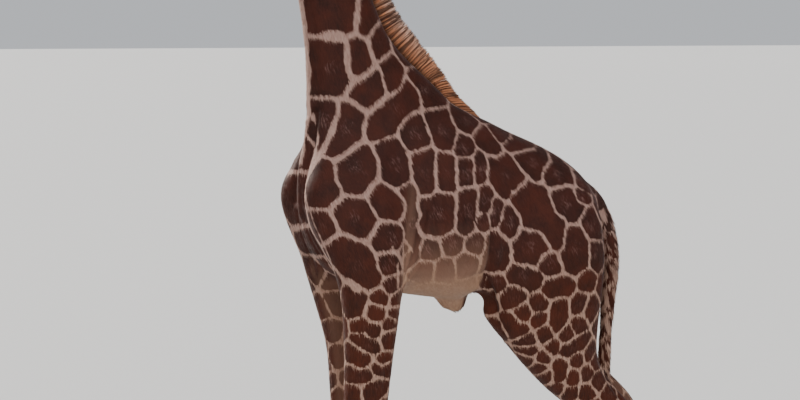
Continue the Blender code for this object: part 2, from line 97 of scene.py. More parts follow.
# Matt floor paint: faintly cloudy, so that the floor doesn't look printed.
floor_paint, tree = new_material("matt floor paint")
cloud = put(tree, "TexNoise", links={"Scale": 3.0, "Detail": 4.0})
tone = put(tree, "MapRange", cloud, links={"To Min": 0.60, "To Max": 0.64})
put(tree, "OutputMaterial", put(tree, "BsdfPrincipled", links={"Base Color": tone, "Roughness": 0.85}))
FLOOR_HALF = 300
corners = [(x * FLOOR_HALF, y * FLOOR_HALF, 0) for x, y in ((-1, -1), (1, -1), (1, 1), (-1, 1))]
floor_mesh = bpy.data.meshes.new("floor")
floor_mesh.from_pydata(corners, [], [(0, 1, 2, 3)])
floor_mesh.materials.append(floor_paint)
floor = bpy.data.objects.new("floor", floor_mesh)
bpy.context.scene.collection.objects.link(floor)

world = bpy.data.worlds.new("room")
world.use_nodes = True
sky = world.node_tree.nodes["Background"]
sky.inputs["Color"].default_value = (0.92, 0.95, 1.0, 1.0)
sky.inputs["Strength"].default_value = 0.62
bpy.context.scene.world = world


def soft_sun(name, way_from, strength, spread, tint):
    """A broad distant light coming from that way."""
    data = bpy.data.lights.new(name, "SUN")
    data.energy = strength
    data.angle = math.radians(spread)
    data.color = tint
    lamp = bpy.data.objects.new(name, data)
    lamp.rotation_euler = way_from.to_track_quat("Z", "Y").to_euler()
    bpy.context.scene.collection.objects.link(lamp)


soft_sun("window", -right_way * 0.85 - back_way * 0.42 + up_way * 0.75, 3.2, 28, (1.0, 0.96, 0.90))
soft_sun("rim", -right_way * 0.95 - back_way * 0.80 + up_way * 0.42, 3.0, 8, (1.0, 0.95, 0.86))
soft_sun("fill", right_way * 0.25 + back_way * 0.9 + up_way * 0.55, 1.5, 60, (1.0, 0.97, 0.95))


# The skin: one hide over trunk, neck, head, legs and dock, with no seam where the
# pieces of the animal are parted. It is the pieces' own form, remeshed as one and
# smoothed without shrinking; its material comes with the coat's.

SKIN_NODES = ["trunk", "neck", "head", "tail", "leg_front_left", "leg_front_right",
              "leg_hind_left", "leg_hind_right"]
SKIN_GRAIN = 0.011      # spacing of the hide's points
OVERLAP = 0.0006        # each piece swells this much so that the parted pieces meet
SAME_POINT = 0.00002    # corners closer than this are one


def fetched(items, what, width=3, kind=np.float32):
    """One property of every point, edge or face, as rows of an array."""
    flat = np.empty(len(items) * width, kind)
    items.foreach_get(what, flat)
    return flat.reshape(-1, width)


def coords(mesh):
    """The mesh's points."""
    return fetched(mesh.vertices, "co").astype(float)


def normals(mesh):
    """The mesh's point normals."""
    return fetched(mesh.vertex_normals, "vector").astype(float)


def set_coords(mesh, points):
    """Moves the mesh's points."""
    mesh.vertices.foreach_set("co", np.asarray(points, np.float32).ravel())
    mesh.update()


def unit(ways):
    """Ways made one long."""
    return ways / np.maximum(np.linalg.norm(ways, axis=-1, keepdims=True), 1e-9)


def ramp(value, low, high):
    """0 below low, 1 above high, eased between."""
    t = np.clip((value - low) / (high - low), 0, 1)
    return t * t * (3 - 2 * t)


def averaged(values, ends, weight, rounds):
    """Values at points, drawn towards the mean of their neighbours."""
    values = values.copy()
    a, b = ends.T
    count = np.bincount(a, minlength=len(values)) + np.bincount(b, minlength=len(values))
    pull = weight / np.maximum(count, 1)
    for _ in range(rounds):
        for axis in range(values.shape[1]):
            column = values[:, axis]
            total = np.bincount(a, column[b], len(column)) + np.bincount(b, column[a], len(column))
            values[:, axis] = column + pull * (total - count * column)
    return values


def smoothed(mesh, weight, rounds):
    """Points with the facets gone and the form kept: smoothed, then given back what was lost."""
    ends = fetched(mesh.edges, "vertices", 2, np.int32)
    points = coords(mesh)
    soft = averaged(points, ends, weight, rounds)
    return soft + averaged(points - soft, ends, weight, rounds)


def linked(name, mesh):
    """An object of this mesh in the scene."""
    obj = bpy.data.objects.new(name, mesh)
    bpy.context.scene.collection.objects.link(obj)
    return obj


def applied(obj):
    """Applies the object's modifiers."""
    graph = bpy.context.evaluated_depsgraph_get()
    mesh = bpy.data.meshes.new_from_object(obj.evaluated_get(graph))
    obj.modifiers.clear()
    obj.data = mesh


bm = bmesh.new()
for node in SKIN_NODES:
    start = len(bm.verts)
    bm.from_mesh(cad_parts[node].data)
    bm.verts.ensure_lookup_table()
    bmesh.ops.remove_doubles(bm, verts=bm.verts[start:], dist=SAME_POINT)
bm.normal_update()
for vert in bm.verts:
    vert.co += vert.normal * OVERLAP
mesh = bpy.data.meshes.new("skin")
bm.to_mesh(mesh)
bm.free()
skin = linked("skin", mesh)
remesh = skin.modifiers.new("Remesh", "REMESH")
remesh.mode = "VOXEL"
remesh.voxel_size = SKIN_GRAIN
applied(skin)

# The skull's own axes: x across, s along the face from the nape, h above the face's line.
eye_low, eye_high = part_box("eye_left")
EYE_MIDDLE = (eye_low + eye_high) / 2
EYE_RADIUS = (eye_high.z - eye_low.z) / 2
EYE_ALONG = 0.222
EYE_UP = 0.044
FACE_DROP = math.radians(33)
across_way = np.array((1.0, 0, 0))
along_way = np.array((0, -math.cos(FACE_DROP), -math.sin(FACE_DROP)))
crown_way = np.array((0, -math.sin(FACE_DROP), math.cos(FACE_DROP)))
head_root = np.array((0, EYE_MIDDLE.y, EYE_MIDDLE.z)) - along_way * EYE_ALONG - crown_way * EYE_UP


def on_head(points):
    """Across, along and above the face's line."""
    local = points - head_root
    return np.stack((local[:, 0], local @ along_way, local @ crown_way), 1)


def off_head(x, s, h):
    """A point in the room from the skull's own axes."""
    return head_root + across_way * x + along_way * s + crown_way * h


points = coords(skin.data)
on_skull = ramp(on_head(points)[:, 1], -0.10, 0.06) * ramp(points[:, 2], 4.0, 4.2)
low_leg = 1 - ramp(points[:, 2], 0.5, 1.7)
weight = 0.5 * (1 - on_skull) * (1 - 0.6 * low_leg) + 0.12 * on_skull
set_coords(skin.data, smoothed(skin.data, weight, 90))


# The head's hide: the same skin, made finer for the lids, lips and nostrils that are
# sculpted into it, and finer again round the eyes and the end of the muzzle.

def refine(mesh, chosen):
    """Splits the chosen faces in four."""
    bm = bmesh.new()
    bm.from_mesh(mesh)
    bm.faces.ensure_lookup_table()
    faces = [bm.faces[i] for i in np.nonzero(chosen)[0]]
    edges = list({edge for face in faces for edge in face.edges})
    bmesh.ops.subdivide_edges(bm, edges=edges, cuts=1, use_grid_fill=True)
    bm.to_mesh(mesh)
    bm.free()


def near_features(local):
    """Places on the head that carry fine forms."""
    around = np.hypot(local[:, 1] - EYE_ALONG, local[:, 2] - EYE_UP)
    return ((np.abs(local[:, 0]) > 0.05) & (around < 0.062)) | (local[:, 1] > 0.50)


for stage in ("head", "features"):
    middles = fetched(skin.data.polygons, "center").astype(float)
    local = on_head(middles)
    where = local[:, 1] > -0.03 if stage == "head" else near_features(local)
    refine(skin.data, where & (middles[:, 2] > 4.15))
    points = coords(skin.data)
    local = on_head(points)
    where = ramp(local[:, 1], -0.06, -0.01) if stage == "head" else near_features(local)
    weight = 0.5 * where * (points[:, 2] > 4.1)
    set_coords(skin.data, smoothed(skin.data, weight, 12 if stage == "head" else 5))


# Muscle, bone and folds in the skin. Each is a stroke on the left side, swollen or sunk:
# its points, its width, and how far it stands out. The right side has the same.

BODY_FORMS = [
    ([(0.20, -0.80, 2.72), (0.12, -0.74, 2.98)], 0.045, 0.010),        # front of the shoulder
    ([(0.085, -0.76, 2.95), (0.075, -0.82, 2.70), (0.07, -0.84, 2.45)], 0.022, -0.020),
    ([(0.0, -0.80, 2.90), (0.0, -0.83, 2.62), (0.0, -0.82, 2.38)], 0.022, 0.012),
    ([(0.05, -0.80, 2.40), (0.10, -0.74, 2.20), (0.16, -0.66, 2.02)], 0.012, -0.010),
    ([(0.03, -0.79, 2.36), (0.06, -0.72, 2.15), (0.11, -0.62, 1.96)], 0.010, -0.008),
    ([(0.30, -0.30, 2.93), (0.31, -0.46, 2.66), (0.33, -0.60, 2.40)], 0.050, 0.008),  # blade
    ([(0.33, -0.25, 2.66), (0.34, -0.29, 2.40), (0.34, -0.33, 2.12)], 0.020, -0.010),
    ([(0.33, -0.215, 2.46), (0.33, -0.25, 2.20), (0.30, -0.30, 1.98)], 0.011, -0.014),
    ([(0.33, -0.175, 2.40), (0.33, -0.20, 2.18), (0.28, -0.25, 1.98)], 0.010, -0.009),
    ([(0.33, -0.27, 2.34), (0.32, -0.31, 2.10), (0.29, -0.335, 1.97)], 0.010, -0.012),
    ([(0.34, -0.44, 2.42), (0.345, -0.40, 2.20), (0.34, -0.36, 2.00)], 0.050, 0.008),
    ([(0.33, 0.235, 2.44), (0.34, 0.215, 2.28)], 0.016, -0.009),        # front of the thigh
    ([(0.34, 0.215, 2.28), (0.33, 0.205, 2.02), (0.30, 0.225, 1.88)], 0.014, -0.026),
    ([(0.34, 0.258, 2.25), (0.33, 0.250, 2.02), (0.30, 0.262, 1.88)], 0.020, 0.008),
    ([(0.27, 0.17, 2.00), (0.27, 0.23, 1.88), (0.25, 0.30, 1.72)], 0.052, -0.024),
    ([(0.08, 0.24, 1.87), (0.17, 0.22, 1.86), (0.24, 0.24, 1.81)], 0.055, -0.040),
    ([(0.29, 0.40, 2.66), (0.30, 0.48, 2.56)], 0.050, 0.012),           # hip bone
    ([(0.30, 0.62, 2.56), (0.33, 0.74, 2.25), (0.31, 0.86, 1.90)], 0.040, -0.006),
    ([(0.33, 0.40, 2.20), (0.35, 0.46, 1.95), (0.32, 0.48, 1.72)], 0.060, 0.008),
    ([(0.28, 0.99, 1.60), (0.26, 1.06, 1.38), (0.25, 1.17, 1.18)], 0.016, -0.009),     # hamstring
    ([(0.27, 0.72, 1.42), (0.26, 0.90, 1.20), (0.26, 1.02, 1.06)], 0.022, 0.006),
    ([(0.26, 1.26, 0.98), (0.25, 1.25, 0.70), (0.25, 1.24, 0.34)], 0.009, -0.006),     # tendons
    ([(0.27, -0.45, 0.90), (0.26, -0.46, 0.60), (0.26, -0.46, 0.33)], 0.009, -0.006),
    ([(0.22, -0.66, 1.03), (0.24, -0.65, 0.94)], 0.030, 0.008),         # knee
    ([(0.29, -0.53, 1.02), (0.29, -0.52, 0.92)], 0.020, 0.005),
    ([(0.30, -0.60, 1.70), (0.29, -0.59, 1.30)], 0.030, 0.005),
    ([(0.31, -0.42, 1.80), (0.28, -0.44, 1.20)], 0.014, -0.006),
    ([(0.12, -0.83, 3.10), (0.10, -0.90, 3.60), (0.085, -1.03, 4.15)], 0.030, -0.008),  # throat
    ([(0.16, -0.55, 3.10), (0.14, -0.68, 3.60), (0.12, -0.85, 4.10)], 0.040, 0.006),
    ([(0.15, -0.38, 3.25), (0.12, -0.52, 3.70), (0.10, -0.72, 4.15)], 0.026, -0.005),
]
for rib in range(9):
    at = -0.17 + rib * 0.056
    BODY_FORMS.append(([(0.36, at, 2.62), (0.37, at + 0.015, 2.35), (0.34, at + 0.05, 2.10)],
                       0.013, 0.0030))
# The same for the skull, in its own axes: across, along the face, above its line.
MOUTH = [(0.0, 0.705, -0.058), (0.030, 0.690, -0.062), (0.050, 0.655, -0.067), (0.058, 0.61, -0.073),
         (0.058, 0.545, -0.083)]
NOSTRIL = [(0.046, 0.662, -0.006), (0.056, 0.650, 0.004), (0.062, 0.634, 0.012), (0.064, 0.620, 0.014)]
HEAD_FORMS = [
    ([(0.10, 0.285, 0.01), (0.075, 0.36, -0.010), (0.062, 0.45, -0.025)], 0.016, 0.0060),
    ([(0.10, 0.20, -0.055), (0.075, 0.33, -0.065), (0.06, 0.45, -0.075)], 0.022, -0.0060),
    ([(0.095, 0.165, 0.080), (0.10, 0.225, 0.086), (0.092, 0.285, 0.066)], 0.012, 0.0050),
    ([(0.105, 0.10, 0.060), (0.105, 0.14, 0.050)], 0.028, -0.0070),
    ([(0.08, 0.04, -0.10), (0.085, 0.13, -0.145), (0.065, 0.26, -0.160)], 0.016, 0.0045),
    ([(0.0, 0.30, 0.115), (0.0, 0.44, 0.080), (0.0, 0.56, 0.055)], 0.016, 0.0035),
    ([(0.035, 0.36, 0.085), (0.034, 0.48, 0.060)], 0.014, -0.0030),
    ([(0.060, 0.34, -0.125), (0.055, 0.46, -0.105)], 0.012, 0.0025),
    (MOUTH, 0.0036, -0.0065),
    ([(0.0, 0.700, -0.040), (0.035, 0.680, -0.046), (0.056, 0.635, -0.052)], 0.013, 0.0030),
    ([(0.0, 0.690, -0.080), (0.035, 0.665, -0.086), (0.052, 0.620, -0.092)], 0.011, 0.0022),
    (NOSTRIL, 0.0036, -0.0110),
    ([(0.046, 0.664, 0.012), (0.058, 0.640, 0.024), (0.060, 0.610, 0.030)], 0.008, 0.0035),
    ([(0.054, 0.664, -0.012), (0.068, 0.636, -0.004)], 0.008, 0.0025),
    ([(0.0, 0.700, -0.015), (0.0, 0.700, -0.052)], 0.004, -0.0015),
]

# Dark lines in the face's forms, bare skin with the shade of the nostrils and the mouth painted in:
# the points, where the darkness starts and ends, and its share.
SLITS = ((NOSTRIL, 0.0012, 0.0045, 1.0), (NOSTRIL[1:3], 0.0030, 0.0065, 1.0),
         (MOUTH, 0.0008, 0.0038, 0.75))
ELBOW_TOP = 2.05        # heights from which each leg leans back
STIFLE_TOP = 2.35


def surface_of(mesh):
    """The mesh as a tree that finds the nearest place on it."""
    return BVHTree.FromPolygons([tuple(p) for p in coords(mesh)],
                                [tuple(face.vertices) for face in mesh.polygons])


def nearest(surface, point):
    """The place on a surface nearest to a point."""
    return np.array(surface.find_nearest(Vector(point))[0])


def laid_line(surface, line):
    """A line laid on the hide, with a point between each two."""
    laid = [nearest(surface, point) for point in line]
    laid = [p for a, b in zip(laid, laid[1:]) for p in (a, (a + b) / 2)] + [laid[-1]]
    return [nearest(surface, point) for point in laid]


def to_stroke(points, first, last):
    """Distance from a stroke, and how far along it."""
    way = last - first
    t = np.clip((points - first) @ way / max(way @ way, 1e-9), 0, 1)
    return np.linalg.norm(points - first - t[:, None] * way, axis=1), t


def line_gap(points, line, reach):
    """Distance from a line, worked out only within reach of it."""
    gap = np.full(len(points), 9.0)
    near = np.nonzero(np.all((points > np.min(line, axis=0) - reach)
                             & (points < np.max(line, axis=0) + reach), axis=1))[0]
    for first, last in zip(line, line[1:]):
        gap[near] = np.minimum(gap[near], to_stroke(points[near], first, last)[0])
    return gap


def set_back(end):
    """How far the right foot of this end stands behind the left."""
    return (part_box(f"hoof_{end}_right_outer")[0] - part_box(f"hoof_{end}_left_outer")[0]).y


def lean_back(z, end):
    """How far the right leg of this end has moved back at this height."""
    top = ELBOW_TOP if end == "front" else STIFLE_TOP
    return set_back(end) * (0.62 * ramp(top - z, 0, 0.55) + 0.38 * np.maximum(0.0, (top - z) / top))


def right_twin(point):
    """Where a point of the left side is on the right, whose feet are set back."""
    x, y, z = point
    if z < STIFLE_TOP:
        share = ramp(y, -0.15, 0.25)
        y += (1 - share) * lean_back(z, "front") + share * lean_back(z, "hind")
    return (-x, y, z)


def both_sides(line, twin):
    """The line, and its twin on the right if it leaves the middle."""
    return [line] + ([[twin(p) for p in line]] if max(abs(p[0]) for p in line) > 0 else [])


# The front edge of the thigh stands nearly upright, the sheath hangs under a belly that
# rises behind it, and the root of the tail stands out from the rump.
points = coords(skin.data)
x, y, z = points.T
own_y = y - (x < 0) * lean_back(z, "hind")
edge_back = np.interp(z, [1.50, 1.70, 1.80, 1.92, 2.02, 2.12, 2.25, 2.45],
                      [0, 0.026, 0.040, 0.052, 0.050, 0.045, 0.030, 0])
edge_back *= ramp(np.abs(x), 0.10, 0.22) * ramp(own_y, 0.0, 0.13) * (1 - ramp(own_y, 0.25, 0.55))
root_back = np.interp(z, [1.25, 1.70, 1.92, 2.05, 2.19, 2.31, 2.38, 2.46, 2.54, 2.68],
                      [0, 0.012, 0.022, 0.020, 0.022, 0.036, 0.040, 0.034, 0.018, 0])
root_back *= np.exp(-(x / 0.11) ** 2) * ramp(y, 0.85, 1.05)
points[:, 1] += edge_back + root_back
# The hide widens at the foot of each leg to lie over the tops of its two claws.
CLAW_INSET = np.array((0.022, 0.052))     # how far inside the claws' box it stays, in front
HEEL_INSET = np.array((0.022, 0.000))     # and behind
for end in ("front", "hind"):
    for name, own_side in (("left", x > 0), ("right", x < 0)):
        boxes = [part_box(f"hoof_{end}_{name}_{claw}") for claw in ("outer", "inner")]
        low = np.min([box[0] for box in boxes], axis=0)[:2] + CLAW_INSET
        high = np.max([box[1] for box in boxes], axis=0)[:2] - HEEL_INSET
        foot = own_side & (z < 0.30) & (np.abs(points[:, 1] - (low[1] + high[1]) / 2) < 0.25)
        ring = points[foot & (np.abs(z - 0.125) < 0.012), :2]
        own_low, own_high = ring.min(axis=0), ring.max(axis=0)
        share = ((1 - ramp(z, 0.112, 0.180)) * foot)[:, None]
        stretch = (high - low) / (own_high - own_low)
        wide = (low + high) / 2 + (points[:, :2] - (own_low + own_high) / 2) * stretch
        points[:, :2] += share * (wide - points[:, :2])
        points[:, 2] -= 0.012 * share[:, 0]
under_side = ramp(-normals(skin.data)[:, 2], 0.2, 0.6) * (z > 1.6) * (z < 2.1)
sheath = ramp(y, 0.02, 0.09) * (1 - ramp(y, 0.205, 0.275)) * np.exp(-(x / 0.055) ** 2)
behind = ramp(y, 0.22, 0.30) * (1 - ramp(y, 0.42, 0.52)) * (1 - ramp(np.abs(x), 0.08, 0.20))
points[:, 2] += under_side * (0.030 * behind - 0.052 * sheath)
set_coords(skin.data, points)

points = coords(skin.data)
surface = surface_of(skin.data)
forms = [(side_line, width, height) for line, width, height in BODY_FORMS
         for side_line in both_sides(line, right_twin)]
forms += [([off_head(*p) for p in side_line], width, height) for line, width, height in HEAD_FORMS
          for side_line in both_sides(line, lambda p: (-p[0], p[1], p[2]))]
shift = np.zeros(len(points))
for line, width, height in forms:
    shift += height * np.exp(-(line_gap(points, laid_line(surface, line), 3 * width) / width) ** 2)
# Bare dark skin, with painted shade inside the nostrils and along the mouth.
slit_skin_and_shade = np.zeros(len(points))
for line, inner, outer, dark in SLITS:
    for side in (1, -1):
        here = laid_line(surface, [off_head(side * x, s, h) for x, s, h in line])
        share = 1 - ramp(line_gap(points, here, 0.02), inner, outer)
        slit_skin_and_shade = np.maximum(slit_skin_and_shade, dark * share)
set_coords(skin.data, points + normals(skin.data) * shift[:, None])

# The hide is then sunk by the depth of the coat, least on the face and the feet. The
# dock swells instead, as its hair is long and rough.
points = coords(skin.data)
x, y, z = points.T
dock = (np.abs(x) < 0.055) * ramp(y, 1.01, 1.05) * ramp(z, 1.1, 1.25) * (1 - ramp(z, 2.1, 2.35))
face = ramp(on_head(points)[:, 1], 0.0, 0.15) * (z > 4.1)
coat_depth = 0.0025 + 0.002 * ramp(z, 0.4, 1.8) - 0.003 * face - 0.016 * dock
set_coords(skin.data, points - normals(skin.data) * coat_depth[:, None])

# Eyelids: the hide drops behind the eyeball inside an almond opening, and rises
# over the ball round it as a thick upper lid and a thinner lower one.
LID = 0.0030            # thickness
OPENING = 0.0265        # half the length of the opening
UPPER = 0.0160          # and its height above and below the line of its corners
LOWER = 0.0120
turn = np.linspace(0, 2 * math.pi, 97)[:-1]
almond = np.stack((np.cos(turn) * OPENING,
                   np.where(turn < math.pi, UPPER, LOWER) * np.sign(np.sin(turn))
                   * np.abs(np.sin(turn)) ** 1.25), 1)


def eye_axes(side):
    """The eyeball's middle, and its ways to the front corner, upwards and outwards."""
    middle = off_head(side * EYE_MIDDLE.x, EYE_ALONG, EYE_UP)
    out = unit(across_way * side * 0.93 + along_way * 0.26 + crown_way * 0.14)
    ahead = along_way + crown_way * 0.10
    ahead = unit(ahead - out * (ahead @ out))
    above = np.cross(out, ahead) * side
    return middle, ahead, above if above @ crown_way > 0 else -above, out


def from_opening(u, v):
    """Distance outside the almond, less than nought within."""
    spot = np.stack((u, v), 1)
    way = np.roll(almond, -1, axis=0) - almond
    reach = spot[:, None] - almond[None]
    t = np.clip(np.einsum("nmk,mk->nm", reach, way) / np.sum(way * way, axis=1), 0, 1)
    gap = np.linalg.norm(reach - t[..., None] * way, axis=2).min(axis=1)
    limit = np.where(v > 0, UPPER, LOWER) * np.clip(1 - (u / OPENING) ** 2, 0, 1) ** 0.625
    return np.where((np.abs(u) < OPENING) & (np.abs(v) < limit), -gap, gap)


lid_dark = np.zeros(len(points))
points = coords(skin.data)
for side in (1, -1):
    middle, ahead, above, out = eye_axes(side)
    reach = points - middle
    near = np.nonzero((np.linalg.norm(reach, axis=1) < 0.065) & (reach @ out > -0.02))[0]
    u, v, w = reach[near] @ ahead, reach[near] @ above, reach[near] @ out
    gap = from_opening(u, v)
    ball = EYE_RADIUS - (u * u + v * v) / (2 * EYE_RADIUS)
    lid = ball + LID + 0.0012 * (v > 0)
    rim = np.where(gap < 0, ball - 0.007, lid - 0.0022 * ramp(-gap, -0.003, 0.0))
    fold = -0.0022 * np.exp(-((gap - 0.0125) / 0.0022) ** 2) * ramp(v, 0.0, 0.008)
    fold -= 0.0012 * np.exp(-((gap - 0.0100) / 0.0020) ** 2) * ramp(-v, 0.0, 0.008)
    blend = ramp(gap, 0.006, 0.026)
    target = rim * (1 - blend) + w * blend + fold
    points[near] += out * (target - w)[:, None]
    lid_dark[near] = np.maximum(lid_dark[near], 1 - ramp(gap, 0.0015, 0.0055))
set_coords(skin.data, points)


# The markings on skin and coat: chestnut patches parted by a pale net. Each patch is grown
# from its middle, a stroke or a ring of points until it meets its neighbours, as on the
# animal. The left side's are placed one by one, and the others are spaced by region.

# Patches seen from the left: y and z of the patch's middle, or of every point of the stroke
# or ring that it grows from.
LEFT_NECK = [(-0.745, 3.47, -0.62, 3.47, -0.60, 3.62, -0.72, 3.62), (-0.455, 3.44, -0.44, 3.54),
             (-0.73, 3.27, -0.66, 3.27, -0.655, 3.14, -0.705, 3.13), (-0.53, 3.28, -0.525, 3.22),
             (-0.385, 3.31, -0.39, 3.37), (-0.50, 3.05, -0.43, 3.11), (-0.335, 3.13, -0.32, 3.21),
             (-0.42, 2.88, -0.30, 2.97, -0.21, 3.06), (-0.15, 3.12, -0.07, 3.03), (-0.23, 3.27),
             (-0.80, 3.82, -0.67, 3.80), (-0.55, 3.72, -0.56, 3.80), (-0.80, 4.02, -0.70, 4.00),
             (-0.86, 4.19, -0.79, 4.18)]
LEFT_SHOULDER = [(-0.575, 2.93, -0.64, 2.80), (-0.71, 2.94, -0.715, 2.86), (-0.615, 2.61, -0.555, 2.69),
                 (-0.79, 2.60, -0.785, 2.53), (-0.37, 2.73, -0.34, 2.61), (-0.215, 2.86, -0.205, 2.80),
                 (-0.045, 2.90, -0.03, 2.79), (-0.79, 2.335), (-0.66, 2.40, -0.59, 2.37),
                 (-0.435, 2.465, -0.355, 2.43), (-0.44, 2.26, -0.37, 2.265), (-0.43, 2.115),
                 (-0.70, 2.20, -0.60, 2.13, -0.53, 2.05)]
LEFT_RIBS = [(-0.175, 2.68, -0.195, 2.53), (-0.055, 2.66, -0.065, 2.56), (0.145, 2.885),
             (0.075, 2.74), (0.25, 2.78, 0.28, 2.72), (0.40, 2.80), (0.45, 2.735, 0.55, 2.735),
             (0.07, 2.64, 0.06, 2.57), (0.185, 2.65, 0.165, 2.58),
             (0.27, 2.65, 0.38, 2.64, 0.43, 2.56, 0.38, 2.53, 0.32, 2.49, 0.25, 2.57, 0.27, 2.65),
             (0.19, 2.495, 0.17, 2.42), (0.07, 2.48, 0.04, 2.32),
             (-0.20, 2.44, -0.09, 2.44, -0.09, 2.33, -0.20, 2.33),
             (-0.278, 2.50, -0.277, 2.17), (0.165, 2.33), (-0.173, 2.185), (-0.037, 2.22),
             (0.105, 2.21), (-0.18, 2.06), (-0.066, 2.06), (0.06, 2.09), (-0.30, 2.20)]
LEFT_HAUNCH = [(0.48, 2.66, 0.57, 2.68, 0.65, 2.66, 0.59, 2.61, 0.56, 2.57, 0.50, 2.62, 0.48, 2.66),
               (0.75, 2.62, 0.79, 2.54, 0.67, 2.52, 0.66, 2.57, 0.75, 2.62), (0.885, 2.515),
               (0.685, 2.46, 0.765, 2.46, 0.82, 2.37, 0.75, 2.33, 0.69, 2.37, 0.685, 2.46), (0.852, 2.435),
               (0.40, 2.44, 0.49, 2.50, 0.59, 2.47, 0.62, 2.36, 0.68, 2.29, 0.65, 2.19, 0.61, 2.22,
                0.57, 2.27, 0.47, 2.31, 0.46, 2.36, 0.40, 2.44),
               (0.33, 2.37, 0.37, 2.32, 0.35, 2.26, 0.31, 2.29, 0.33, 2.37), (0.265, 2.41, 0.225, 2.34),
               (0.23, 2.22, 0.30, 2.16, 0.30, 2.09, 0.24, 2.08, 0.23, 2.22),
               (0.44, 2.23, 0.51, 2.22, 0.54, 2.17, 0.49, 2.11, 0.41, 2.12, 0.39, 2.19, 0.44, 2.23),
               (0.75, 2.23, 0.80, 2.21, 0.83, 2.15, 0.81, 2.06, 0.75, 2.05, 0.71, 2.11, 0.75, 2.23),
               (0.56, 2.065, 0.60, 2.08, 0.61, 2.05, 0.58, 2.04),
               (0.885, 2.31, 0.885, 2.265, 0.92, 2.22), (0.915, 2.14, 0.93, 2.07), (0.378, 2.03, 0.488, 1.99),
               (0.267, 1.975), (0.267, 1.843), (0.373, 1.873, 0.404, 1.871), (0.523, 1.833),
               (0.602, 1.922, 0.696, 1.933), (0.852, 1.955), (0.802, 1.81), (0.90, 1.77),
               (0.663, 1.80, 0.655, 1.71)]
LEFT_THIGH = [(0.427, 1.781), (0.372, 1.728, 0.42, 1.688), (0.525, 1.743), (0.806, 1.684),
              (0.575, 1.655), (0.73, 1.639), (0.48, 1.612), (0.494, 1.553), (0.641, 1.558),
              (0.736, 1.538, 0.837, 1.572), (0.596, 1.504), (0.814, 1.48), (0.909, 1.507),
              (0.701, 1.457, 0.708, 1.385), (0.58, 1.436), (0.632, 1.382), (0.793, 1.366),
              (0.90, 1.385), (0.964, 1.446), (0.978, 1.337), (0.711, 1.303), (0.895, 1.27),
              (0.791, 1.272), (0.325, 1.682), (0.502, 1.489)]
LEFT_FORELEG = [(-0.618, 1.925, -0.622, 1.875), (-0.479, 1.937), (-0.507, 1.859, -0.47, 1.835),
                (-0.591, 1.784, -0.521, 1.745), (-0.589, 1.71, -0.494, 1.664),
                (-0.442, 1.686, -0.402, 1.717), (-0.405, 1.775), (-0.624, 1.635, -0.568, 1.589),
                (-0.459, 1.588), (-0.488, 1.542, -0.44, 1.514), (-0.62, 1.501, -0.549, 1.508),
                (-0.518, 1.423, -0.46, 1.448), (-0.66, 1.764), (-0.416, 1.999), (-0.375, 1.847),
                (-0.37, 1.91), (-0.623, 1.411)]
# Extra pale strokes through them: y, z at both ends, and half the stroke's width.
LEFT_STROKES = [(-0.80, 3.365, -0.60, 3.365, 0.031), (-0.655, 2.045, -0.60, 1.98, 0.020),
                (-0.43, 2.185, -0.40, 2.225, 0.007), (-0.465, 2.20, -0.43, 2.185, 0.006),
                (-0.33, 2.22, -0.335, 1.98, 0.008),
                (-0.375, 2.12, -0.37, 1.98, 0.008), (0.232, 2.26, 0.236, 1.93, 0.006)]
# The breast faces forwards, so its patches and strokes are given by x, y and z.
BREAST = [[(-0.13, -0.78, 2.69), (-0.03, -0.80, 2.71)],
          [(-0.15, -0.80, 2.53), (-0.02, -0.81, 2.53), (-0.02, -0.80, 2.42), (-0.13, -0.80, 2.40)],
          [(-0.12, -0.77, 2.20), (0.0, -0.77, 2.21)]]
BREAST_STROKES = [((0.134, -0.656, 2.907), (0.136, -0.711, 2.783), 0.014),
                  ((0.136, -0.711, 2.783), (0.145, -0.750, 2.715), 0.018),
                  ((0.145, -0.750, 2.715), (0.125, -0.800, 2.640), 0.021),
                  ((0.125, -0.800, 2.640), (0.110, -0.840, 2.560), 0.020),
                  ((0.110, -0.840, 2.560), (0.160, -0.848, 2.487), 0.013),
                  ((0.160, -0.848, 2.487), (0.202, -0.833, 2.403), 0.008),
                  ((0.202, -0.833, 2.403), (0.219, -0.756, 2.220), 0.007),
                  ((0.219, -0.756, 2.220), (0.200, -0.680, 2.080), 0.007),
                  ((0.037, -0.751, 2.933), (0.088, -0.738, 2.814), 0.012),
                  ((0.088, -0.738, 2.814), (0.110, -0.800, 2.640), 0.012),
                  ((-0.164, -0.807, 2.604), (0.025, -0.808, 2.629), 0.013),
                  ((-0.193, -0.785, 2.277), (-0.089, -0.780, 2.299), 0.013),
                  ((-0.089, -0.780, 2.299), (0.032, -0.789, 2.329), 0.013)]

skin_tree = surface_of(skin.data)


def from_left(y, z):
    """Where a level line from the left meets the hide."""
    hit = skin_tree.ray_cast(Vector((1.5, y, z)), Vector((-1, 0, 0)))[0]
    return nearest(skin_tree, (0.2, y, z)) if hit is None else np.array(hit)


def spread(first, last, step=0.045):
    """Points along a stroke."""
    count = int(np.linalg.norm(last - first) / step) + 1
    return [first + (last - first) * t for t in np.linspace(0, 1, count)]


rows = [[from_left(*row[i:i + 2]) for i in range(0, len(row), 2)]
        for row in LEFT_NECK + LEFT_SHOULDER + LEFT_RIBS + LEFT_HAUNCH + LEFT_THIGH + LEFT_FORELEG]
rows += [[nearest(skin_tree, point) for point in row] for row in BREAST]
placed = []
patch_of = []
for number, ends in enumerate(rows):
    for first, last in zip(ends, ends[1:] or ends):
        stroke = spread(first, last)
        placed += stroke
        patch_of += [number] * len(stroke)
placed = np.array(placed)


